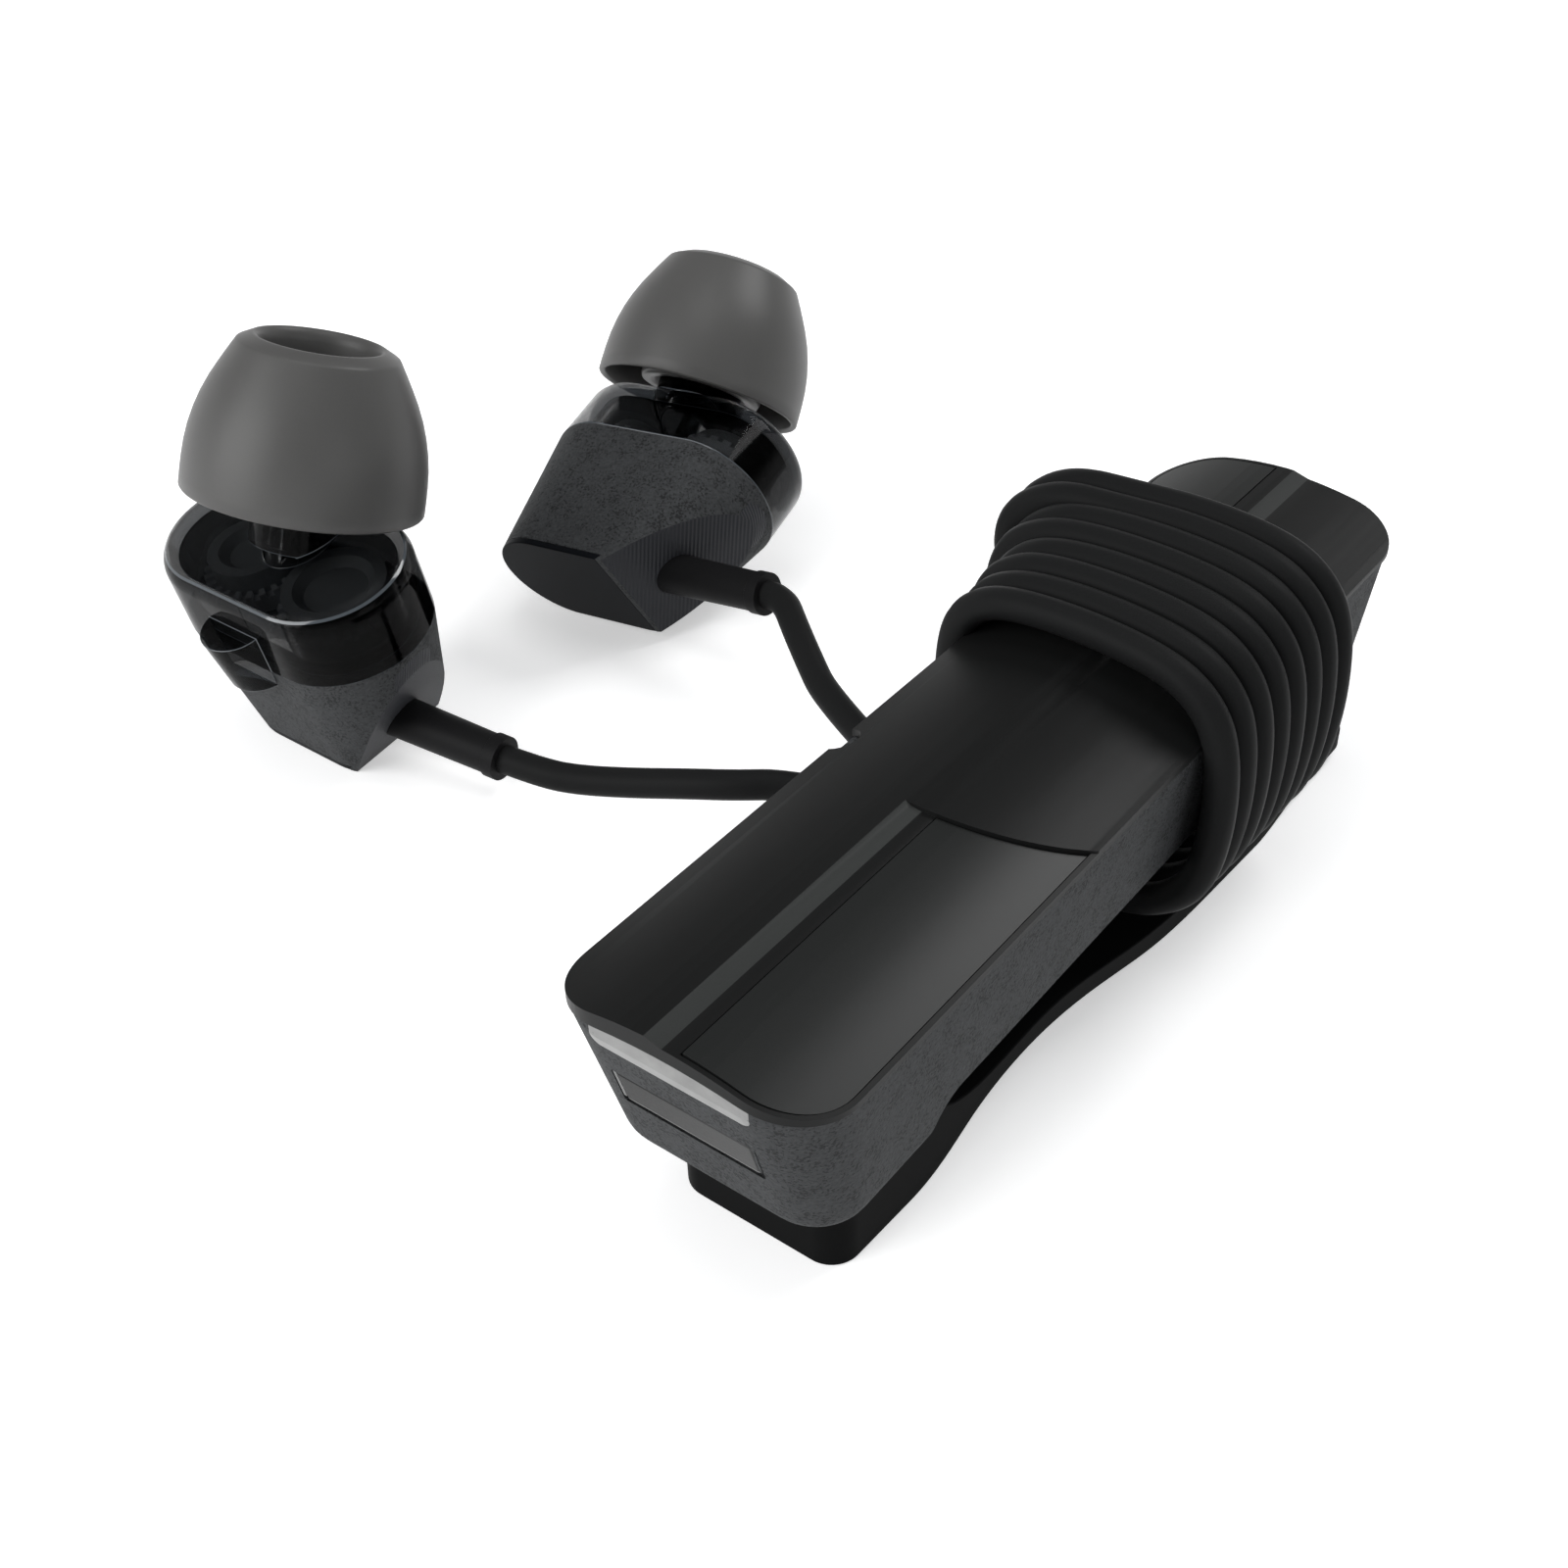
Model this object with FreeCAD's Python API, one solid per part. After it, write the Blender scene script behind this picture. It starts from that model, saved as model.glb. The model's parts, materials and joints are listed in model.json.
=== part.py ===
# In-ear earphones whose two cords are wound round a clip-on hub.
# Millimetres, +Z up. The origin is the middle of the clip foot's flat underside.
# +X runs across the hub, away from the earbuds, and +Y along it, from the port end to the hinge end.
import FreeCAD
import Part

import math
import os

V = FreeCAD.Vector
X_AXIS = V(1, 0, 0)
Y_AXIS = V(0, 1, 0)
Z_AXIS = V(0, 0, 1)

# Overruns and clearances shared by all pieces
overrun = 2.0
wide = 120.0
rim_gap = 0.08
running_gap = 0.06
seat_gap = 0.02
swing_gap = 0.18

# Hub as a whole
hub_length = 54.2
hub_width = 14.0
block_underside = 5.0
housing_depth = 9.2
rim_height = block_underside + housing_depth
plan_radius = 3.3
foot_middle = 7.5
near_end = -foot_middle
far_end = near_end + hub_length
half_width = hub_width / 2

# Top cover: crowned outside, arched inside
crown_rise = 1.4
arch_rise = 0.9
rim_thickness = 0.41
panel_depth = 0.24
strip_left = -0.95
strip_right = -0.47
panel_sweep_radius = 8.9
panel_sweep_apex = 17.8
notch_radius = 0.95
notch_along = 21.3

# Button plates set into the cover
plate_thickness = 0.5
plate_inset = 0.3
plate_split = 0.76
rear_plate_split = -0.92
plate_fall = 0.3
plate_step = 0.05
button_travel = 0.2
stem_radius = 0.9

# Housing
housing_inset = 0.1
side_draft = 0.75
end_draft = 2.4
floor_radius = 1.5
waist_depth = 6.8
block_length = 9.4
block_blend = 2.4
wall = 1.1
cavity_floor = rim_height - waist_depth + wall

# Light window
window_half_width = 4.05
window_height = 1.15
window_radius = 0.5
window_thickness = 1.0

# Port door and the socket behind it
door_half_width = 3.45
door_height = 2.3
door_thickness = 0.8
door_sill = 0.65
door_bottom = cavity_floor + door_sill
door_swing_radius = door_thickness / 2
socket_width = 7.4
socket_height = 2.2
socket_length = 5.0
socket_shell = 0.3
socket_setback = 0.25

# Inside the hub
board_thickness = 0.6
board_width = 9.6
board_margin = 3.6
battery_width = 9.2
battery_height = 3.4
battery_length = 21.0
battery_start = 17.5
battery_radius = 1.0
switch_size = 2.6
switch_height = 1.6
front_switch_along = 11.5
rear_switch_along = 44.5
emitter_width = 3.0
emitter_depth = 1.0

# Clip
foot_start = 4.9
foot_end = 10.1
foot_front_drop = 1.95
foot_front_height = block_underside - foot_front_drop
ridge_start = 8.2
ridge_end = 10.4
ridge_gap = 0.05
ridge_run = 3.0
ridge_run_share = 1.12
arm_thickness = 1.2
arch_height = 2.45
arch_along = 20.3
arch_rise_share = 0.66
arch_fall_share = 0.38
belly_start = 36.8
belly_end = 42.0
tail_height = 0.6
clip_length = 48.0
foot_half_width = 4.65
belly_half_width = 6.1
clip_corner = 1.5

# Clip hinge
pin_radius = 0.6
pin_setback = 5.5
pin_height = (block_underside + tail_height + arm_thickness) / 2
knuckle_radius = 1.3
knuckle_inner = 1.9
knuckle_outer = 3.5
lug_thickness = 1.2
lug_gap = 0.1
spring_wire = 0.4
spring_gap = 0.35
spring_coil_radius = (block_underside - tail_height - arm_thickness - spring_wire) / 2 - spring_gap
spring_turns = 2
spring_pitch = 1.1
spring_leg = 3.2

# Cords and their windings
cord_diameter = 1.7
strand_pitch = 1.76
winding_start = 22.5
winding_turns = 4
loop_clearance = 1.2
loop_far_clearance = 0.55
loop_bottom = arm_thickness + cord_diameter / 2 + loop_clearance
loop_far_bottom = arm_thickness + cord_diameter / 2 + loop_far_clearance
loop_rise = 3.15
loop_far_rise = 3.35
loop_top = rim_height + loop_rise
loop_far_top = rim_height + loop_far_rise
loop_side = 1.3
loop_half_width = half_width + loop_side
loop_shoulder_inset = 0.1
loop_shoulder_width = half_width - loop_shoulder_inset
loop_shoulder_drop = 1.5
bulge_side = 3.9
bulge_half_width = half_width + bulge_side
bulge_bend = 2.9
lead_in_width = 2.2
lead_in_setback = 0.5
lead_in_slope_share = 0.18
inner_end_share = 0.75
grommet_radius = 1.2
grommet_length = 0.9
grommet_tail = 0.5
grommet_rise = 0.8
grommet_height = cavity_floor + grommet_rise
left_cord_route = [(-20.8, 13.8, 4.4), (-17.1, 12.1, 8.0), (-12.8, 13.1, 9.2), (-9.6, 16.0, 8.1), (-8.7, 19.2, 5.0)]
right_cord_route = [(-16.7, 29.1, 8.2), (-15.0, 25.6, 10.9), (-13.1, 22.3, 10.9), (-10.8, 20.5, 8.4),
                    (-8.7, 21.5, 5.2)]
cord_lead_out = 5.4
cord_lead_in = 3.9

# Earbud, in its own axes: X long way of the shell, Z towards the ear
lobe_radius = 4.9
lobe_spread = 3.3
shell_depth = 4.85
shell_wall = 0.9
shell_round = 1.2
bud_depth = 14.05
bud_end_share = 0.78
ridge_across = 3.4
cable_facet_angle = 59.5
cap_thickness = 0.4
stand_tilt = 12.0

# Nub on the shell's flat side
nub_half_width = 1.95
nub_reach = 1.85
nub_foot_reach = 1.3
nub_top = 2.3
nub_bottom = 5.9

# Nozzle and ear tip
nozzle_lean = 33.0
nozzle_side = 1.7
nozzle_shift = -0.2
nozzle_radius = 2.75
nozzle_length = 8.2
nozzle_bore = 1.9
barb_rise = 0.35
barb_length = 1.2
mesh_thickness = 0.3
tip_start = 1.45
tip_height = 8.9
tip_rim_radius = 6.7
tip_belly_radius = 6.66
tip_belly_height = 2.2
tip_shoulder_radius = 5.4
tip_shoulder_height = 6.5
tip_ring_radius = 4.4
tip_ring_height = 8.4
tip_mouth_radius = 3.4
tip_wall = 0.8
tip_tube_wall = 0.9
tip_mouth_depth = 0.8

# Drivers, each in a toothed ring on a shared carrier
large_driver_radius = 3.6
small_driver_radius = 3.1
driver_spread = 3.45
driver_top_share = 0.33
driver_top = shell_depth * driver_top_share
carrier_thickness = 0.83
driver_height = shell_depth - driver_top - carrier_thickness - seat_gap
driver_rim = 0.7
driver_dish = 0.5
ring_width = 0.55
ring_drop_share = 0.48
ring_drop = driver_height * ring_drop_share
ring_teeth = 24
tooth_depth = 0.3
tooth_width = 0.4
rear_wall = 1.3

# Strain relief
relief_height = 11.2
relief_side = -0.3
relief_length = 8.1
relief_start = 4.2
relief_rise_side = 0.88
relief_drop = 0.71
relief_radius = 1.3
relief_end_radius = 1.2
relief_lip = 0.12
relief_lip_length = 0.8
relief_seat = 0.6

# Where the earbuds lie
left_bud_place = (-43.25, 11.1)
right_bud_place = (-38.95, 42.1)
right_bud_lie = -75.0
right_bud_roll = -5.0
right_bud_yaw = 5.5
floor_gap = 0.02


def along(distance):
    """Y of a place measured from the hub's near end."""
    return near_end + distance


def crown_z(x):
    """Height of the cover's crowned face at x."""
    radius = (half_width ** 2 + crown_rise ** 2) / (2 * crown_rise)
    return rim_height + crown_rise - radius + math.sqrt(radius ** 2 - x ** 2)


def arch_z(x):
    """Height of the cover's arched underside at x."""
    radius = (half_width ** 2 + arch_rise ** 2) / (2 * arch_rise)
    return rim_height - rim_thickness + arch_rise - radius + math.sqrt(radius ** 2 - x ** 2)


def line(a, b):
    return Part.LineSegment(a, b).toShape()


def arc(a, b, c):
    return Part.Arc(a, b, c).toShape()


def face_of(edges):
    return Part.Face(Part.Wire(edges))


def box(x0, x1, y0, y1, z0, z1):
    return Part.makeBox(x1 - x0, y1 - y0, z1 - z0, V(x0, y0, z0))


def cylinder(radius, length, start, direction):
    return Part.makeCylinder(radius, length, start, direction)


def clean(shape):
    shape = shape.removeSplitter()
    return shape.Solids[0] if len(shape.Solids) == 1 else shape


def oblong(half, y0, y1, radius, z):
    """A rectangle with round corners, lying flat at height z."""
    cut = radius * (1 - math.sqrt(0.5))
    left, right = -half, half
    edges = [
        line(V(left + radius, y0, z), V(right - radius, y0, z)),
        arc(V(right - radius, y0, z), V(right - cut, y0 + cut, z), V(right, y0 + radius, z)),
        line(V(right, y0 + radius, z), V(right, y1 - radius, z)),
        arc(V(right, y1 - radius, z), V(right - cut, y1 - cut, z), V(right - radius, y1, z)),
        line(V(right - radius, y1, z), V(left + radius, y1, z)),
        arc(V(left + radius, y1, z), V(left + cut, y1 - cut, z), V(left, y1 - radius, z)),
        line(V(left, y1 - radius, z), V(left, y0 + radius, z)),
        arc(V(left, y0 + radius, z), V(left + cut, y0 + cut, z), V(left + radius, y0, z)),
    ]
    return Part.Wire(edges)


def plan_prism(inset, z0, z1):
    """The hub's plan outline, drawn in by inset, as an upright block."""
    wire = oblong(half_width - inset, near_end + inset, far_end - inset, plan_radius - inset, z0)
    return Part.Face(wire).extrude(V(0, 0, z1 - z0))


def band_under(height_at, x0, x1, z_floor, y0, y1):
    """Everything under a curved line over x, down to z_floor, run along Y."""
    middle = (x0 + x1) / 2
    edges = [
        arc(V(x0, y0, height_at(x0)), V(middle, y0, height_at(middle)), V(x1, y0, height_at(x1))),
        line(V(x1, y0, height_at(x1)), V(x1, y0, z_floor)),
        line(V(x1, y0, z_floor), V(x0, y0, z_floor)),
        line(V(x0, y0, z_floor), V(x0, y0, height_at(x0))),
    ]
    return face_of(edges).extrude(V(0, y1 - y0, 0))


def sweep_disc(centre_y, radius):
    """The upright round block whose edge bounds an end panel."""
    return cylinder(radius, rim_height, V(0, centre_y, rim_height - overrun), Z_AXIS)


near_sweep = sweep_disc(along(panel_sweep_apex + panel_sweep_radius), panel_sweep_radius)
far_sweep = sweep_disc(far_end - panel_sweep_apex - panel_sweep_radius, panel_sweep_radius)
panel_reach = panel_sweep_apex + panel_sweep_radius


def front_plate_z(x):
    """Top of the front button plate: it falls away from the crown towards its outer side."""
    share = (x - plate_split) / (half_width - plate_split)
    return crown_z(x) - panel_depth + plate_step - (plate_fall - panel_depth) * share ** 2


def rear_plate_z(x):
    return crown_z(x)


def end_panel(x0, x1, sweep, y0, y1):
    """An upright block over an end panel, between x0 and x1 and the sweep's round edge."""
    block = box(x0, x1, y0, y1, rim_height - overrun * 2, rim_height + overrun * 2)
    return block.cut(sweep)


def make_cover():
    body = band_under(crown_z, -half_width, half_width, rim_height - overrun, near_end, far_end)
    hollow = band_under(arch_z, -half_width, half_width, rim_height - overrun * 2, near_end, far_end)
    cover = body.cut(hollow).common(plan_prism(0, rim_height - overrun, rim_height + overrun))
    # Near end: the right of the panel lies lower, past a sloping strip
    cover = cover.cut(panel_cut(strip_left, strip_right, near_end - overrun, along(panel_reach), near_sweep))
    cover = cover.cut(panel_cut(-strip_right, -strip_left, far_end - panel_reach, far_end + overrun, far_sweep))
    # Openings that the two button plates fill
    cover = cover.cut(plate_outline(True, rim_gap))
    cover = cover.cut(plate_outline(False, rim_gap))
    # Notch that holds a cord at the side
    notch = cylinder(notch_radius, overrun * 2, V(-half_width, along(notch_along), rim_height - overrun), Z_AXIS)
    return clean(cover.cut(notch))


def panel_cut(x_top, x_floor, y0, y1, sweep):
    """What is taken off an end panel to the right of its sloping strip."""
    right = half_width + overrun
    top = rim_height + crown_rise + overrun
    middle = (x_floor + half_width) / 2
    edge_z = crown_z(half_width) - panel_depth / 2
    edges = [
        line(V(x_top, y0, top), V(x_top, y0, crown_z(x_top))),
        line(V(x_top, y0, crown_z(x_top)), V(x_floor, y0, crown_z(x_floor) - panel_depth)),
        arc(V(x_floor, y0, crown_z(x_floor) - panel_depth), V(middle, y0, crown_z(middle) - panel_depth),
            V(half_width, y0, edge_z)),
        line(V(half_width, y0, edge_z), V(right, y0, edge_z)),
        line(V(right, y0, edge_z), V(right, y0, top)),
        line(V(right, y0, top), V(x_top, y0, top)),
    ]
    return face_of(edges).extrude(V(0, y1 - y0, 0)).cut(sweep)


def plate_outline(front, grow):
    """Upright block of a button plate's outline, grown all round by grow."""
    inner = plan_prism(plate_inset - grow, rim_height - overrun * 2, rim_height + overrun * 2)
    if front:
        disc = sweep_disc(along(panel_reach), panel_sweep_radius + rim_gap - grow)
        block = end_panel(plate_split - grow, half_width, disc, near_end, along(panel_reach))
    else:
        disc = sweep_disc(far_end - panel_reach, panel_sweep_radius + rim_gap - grow)
        block = end_panel(-half_width, rear_plate_split + grow, disc, far_end - panel_reach, far_end)
    return inner.common(block)


def plate_body(front, drop, grow):
    """The block over a button plate's underside, the plate pushed in by drop."""
    top_z = front_plate_z if front else rear_plate_z
    x0 = plate_split - grow if front else -half_width
    x1 = half_width if front else rear_plate_split + grow
    under = band_under(lambda x: top_z(x) - plate_thickness - drop, x0, x1, rim_height - overrun * 3,
                       near_end, far_end)
    return plate_outline(front, grow).cut(under)


def plate_pocket(front):
    """Room under a button plate for its travel."""
    return plate_body(front, button_travel + running_gap, rim_gap)


def make_button(front):
    """A button plate with the round stem that presses its switch."""
    top_z = front_plate_z if front else rear_plate_z
    x0 = plate_split if front else -half_width
    x1 = half_width if front else rear_plate_split
    upper = band_under(top_z, x0, x1, rim_height - overrun * 2, near_end, far_end)
    plate = upper.common(plate_body(front, 0, 0))
    x = (x0 + x1) / 2
    y = along(front_switch_along if front else rear_switch_along)
    switch_top = cavity_floor + seat_gap + board_thickness + switch_height
    stem = cylinder(stem_radius, top_z(x) - plate_thickness / 2 - switch_top - seat_gap,
                    V(x, y, switch_top + seat_gap), Z_AXIS)
    return clean(plate.fuse(stem))


def housing_block(inset, z0, z1, round_floor=True):
    """The drafted outer form of the housing, drawn in by inset."""
    rise = rim_height - rim_thickness - (rim_height - housing_depth)
    bottom_z = rim_height - housing_depth

    def outline(z):
        share = (z - bottom_z) / rise
        half = half_width - housing_inset - side_draft * (1 - share) - inset
        end = housing_inset + end_draft * (1 - share) + inset
        radius = plan_radius - side_draft * (1 - share) - inset
        return oblong(half, near_end + end, far_end - end, radius, z)

    solid = Part.makeLoft([outline(z0), outline(z1)], True, True)
    if round_floor:
        edges = [e for e in solid.Edges if abs(e.BoundBox.ZMax - z0) < 1e-6]
        solid = solid.makeFillet(floor_radius, edges)
    return solid


def waist_cut():
    """The space under the waist, between the two deeper end blocks."""
    floor_z = rim_height - housing_depth
    waist_z = rim_height - waist_depth
    near = along(block_length)
    far = far_end - block_length
    bend = block_blend * (1 - math.sqrt(0.5))
    half = half_width + overrun
    edges = [
        line(V(-half, near, -overrun), V(-half, near, floor_z)),
        arc(V(-half, near, floor_z), V(-half, near + bend, waist_z - bend), V(-half, near + block_blend, waist_z)),
        line(V(-half, near + block_blend, waist_z), V(-half, far - block_blend, waist_z)),
        arc(V(-half, far - block_blend, waist_z), V(-half, far - bend, waist_z - bend), V(-half, far, floor_z)),
        line(V(-half, far, floor_z), V(-half, far, -overrun)),
        line(V(-half, far, -overrun), V(-half, near, -overrun)),
    ]
    return face_of(edges).extrude(V(half * 2, 0, 0))


def window_prism(grow, y0, y1):
    """The light window's outline, its top edge under the cover's arch."""
    half = window_half_width + grow
    radius = window_radius + grow
    low = arch_z(window_half_width) - window_height - grow
    cut = radius * (1 - math.sqrt(0.5))
    edges = [
        arc(V(-half, y0, arch_z(half)), V(0, y0, arch_z(0)), V(half, y0, arch_z(half))),
        line(V(half, y0, arch_z(half)), V(half, y0, low + radius)),
        arc(V(half, y0, low + radius), V(half - cut, y0, low + cut), V(half - radius, y0, low)),
        line(V(half - radius, y0, low), V(radius - half, y0, low)),
        arc(V(radius - half, y0, low), V(cut - half, y0, low + cut), V(-half, y0, low + radius)),
        line(V(-half, y0, low + radius), V(-half, y0, arch_z(half))),
    ]
    return face_of(edges).extrude(V(0, y1 - y0, 0))


lean_rise = rim_height - rim_thickness - (rim_height - housing_depth)
face_lean = math.degrees(math.atan(end_draft / lean_rise))


def near_face_y(z):
    """Y of the housing's leaning near face at height z."""
    share = (z - rim_height + housing_depth) / lean_rise
    return near_end + housing_inset + end_draft * (1 - share)


door_axis_z = door_bottom + door_swing_radius
door_axis_y = near_face_y(door_axis_z) + door_swing_radius / math.cos(math.radians(face_lean))


def lean_with_face(shape):
    """Turn an upright piece about the door's hinge line until it leans as the near face does."""
    shape.rotate(V(0, door_axis_y, door_axis_z), X_AXIS, face_lean)
    return shape


def door_block(grow, inner, outer):
    """Upright door slab, its lower edge round about the hinge line."""
    half = door_half_width + grow
    y0 = door_axis_y - door_swing_radius - outer
    y1 = door_axis_y + door_swing_radius + inner
    slab = box(-half, half, y0, y1, door_axis_z, door_axis_z - door_swing_radius + door_height + grow)
    roll = cylinder(door_swing_radius + grow, half * 2, V(-half, door_axis_y, door_axis_z), X_AXIS)
    return slab.fuse(roll)


def make_door():
    return clean(lean_with_face(door_block(0, 0, 0)))


left_first = 0
right_first = 1


def strand_y(index):
    """Y of a strand of the winding where it passes under the hub, counted from the port end."""
    return winding_start + index * strand_pitch


def inner_end_y(first):
    """Y at which a cord's inner end enters the housing."""
    return strand_y(first) + strand_pitch * 2 * (winding_turns - 1) + strand_pitch * 2 * inner_end_share


def grommet_block(length):
    """Oblong bush round both cords' inner ends, square to the hub's side."""
    x = -half_width - grommet_length
    y0 = inner_end_y(left_first)
    y1 = inner_end_y(right_first)
    low = grommet_height - grommet_radius
    high = grommet_height + grommet_radius
    edges = [
        line(V(x, y0, low), V(x, y1, low)),
        arc(V(x, y1, low), V(x, y1 + grommet_radius, grommet_height), V(x, y1, high)),
        line(V(x, y1, high), V(x, y0, high)),
        arc(V(x, y0, high), V(x, y0 - grommet_radius, grommet_height), V(x, y0, low)),
    ]
    return face_of(edges).extrude(V(length, 0, 0))


def make_housing():
    floor_z = rim_height - housing_depth
    outer = housing_block(0, floor_z, rim_height + crown_rise)
    outer = outer.common(plan_prism(housing_inset, floor_z - overrun, rim_height + overrun * 2))
    outer = outer.common(band_under(arch_z, -half_width, half_width, floor_z - overrun, near_end, far_end))
    outer = outer.cut(waist_cut())
    inner = housing_block(wall, cavity_floor, rim_height + crown_rise, False)
    body = outer.cut(inner)
    # Lugs that carry the clip's pin
    pin_y = far_end - pin_setback
    for side in (-1, 1):
        x0 = side * (knuckle_outer + lug_gap)
        x1 = side * (knuckle_outer + lug_gap + lug_thickness)
        lug = box(min(x0, x1), max(x0, x1), pin_y - knuckle_radius, pin_y + knuckle_radius,
                  pin_height, floor_z + floor_radius)
        eye = cylinder(knuckle_radius, lug_thickness, V(min(x0, x1), pin_y, pin_height), X_AXIS)
        body = body.fuse(lug).fuse(eye)
    body = body.cut(cylinder(pin_radius + seat_gap, hub_width, V(-half_width, pin_y, pin_height), X_AXIS))
    # Light window, port door and the hole in front of the socket
    body = body.cut(window_prism(0, near_end - overrun, near_end + wall * 2 + overrun))
    body = body.cut(lean_with_face(door_block(swing_gap, seat_gap, overrun)))
    low = socket_bottom() - seat_gap
    hole = box(-socket_width / 2 - seat_gap, socket_width / 2 + seat_gap, near_end, along(board_margin) + overrun,
               low, low + socket_height + seat_gap * 2)
    body = body.cut(hole)
    body = body.cut(grommet_block(grommet_length + wall * 3))
    body = body.cut(plate_pocket(True)).cut(plate_pocket(False))
    return clean(body)


def socket_bottom():
    return cavity_floor + seat_gap + board_thickness


def make_window():
    prism = window_prism(0, near_end - overrun, near_end + wall * 2 + overrun)
    outer = housing_block(0, rim_height - housing_depth, rim_height + crown_rise, False)
    outer = outer.common(plan_prism(housing_inset, 0, rim_height + overrun * 2))
    inner = housing_block(window_thickness, rim_height - housing_depth, rim_height + crown_rise, False)
    lens = prism.common(outer).cut(inner)
    lens = lens.cut(plan_prism(housing_inset + window_thickness, 0, rim_height + overrun * 2))
    return clean(lens.cut(plate_pocket(True)))


def make_socket():
    y0 = door_axis_y + door_swing_radius + socket_setback
    z0 = socket_bottom()
    half = socket_width / 2
    outer = box(-half, half, y0, y0 + socket_length, z0, z0 + socket_height)
    edges = [e for e in outer.Edges if abs(e.tangentAt(0).y) > 0.9]
    outer = outer.makeFillet(socket_height / 4, edges)
    mouth = box(-half + socket_shell, half - socket_shell, y0 - overrun, y0 + socket_length - socket_shell,
                z0 + socket_shell, z0 + socket_height - socket_shell)
    tongue = box(-half / 2, half / 2, y0 + socket_shell, y0 + socket_length,
                 z0 + socket_height / 2 - socket_shell / 2, z0 + socket_height / 2 + socket_shell / 2)
    return clean(outer.cut(mouth).fuse(tongue))


def make_board():
    z0 = cavity_floor + seat_gap
    wire = oblong(board_width / 2, along(board_margin), far_end - board_margin, battery_radius, z0)
    return Part.Face(wire).extrude(V(0, 0, board_thickness))


def make_battery():
    z0 = socket_bottom() + seat_gap
    y0 = along(battery_start)
    block = box(-battery_width / 2, battery_width / 2, y0, y0 + battery_length, z0, z0 + battery_height)
    edges = [e for e in block.Edges if abs(e.tangentAt(0).y) > 0.9]
    return block.makeFillet(battery_radius, edges)


def make_switch(front):
    x = (plate_split + half_width) / 2 if front else (rear_plate_split - half_width) / 2
    y = along(front_switch_along if front else rear_switch_along)
    half = switch_size / 2
    z0 = socket_bottom()
    base_height = switch_height - button_travel - seat_gap
    base = box(x - half, x + half, y - half, y + half, z0, z0 + base_height)
    return base


def make_emitter():
    z0 = socket_bottom() + socket_height + seat_gap
    y0 = along(housing_inset + window_thickness) + end_draft / 2
    half = emitter_width / 2
    return box(-half, half, y0, y0 + emitter_depth, z0, arch_z(window_half_width) - window_radius)


def spline(points, start_way, end_way):
    curve = Part.BSplineCurve()
    curve.interpolate(points, InitialTangent=start_way, FinalTangent=end_way)
    return curve.toShape()


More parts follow.
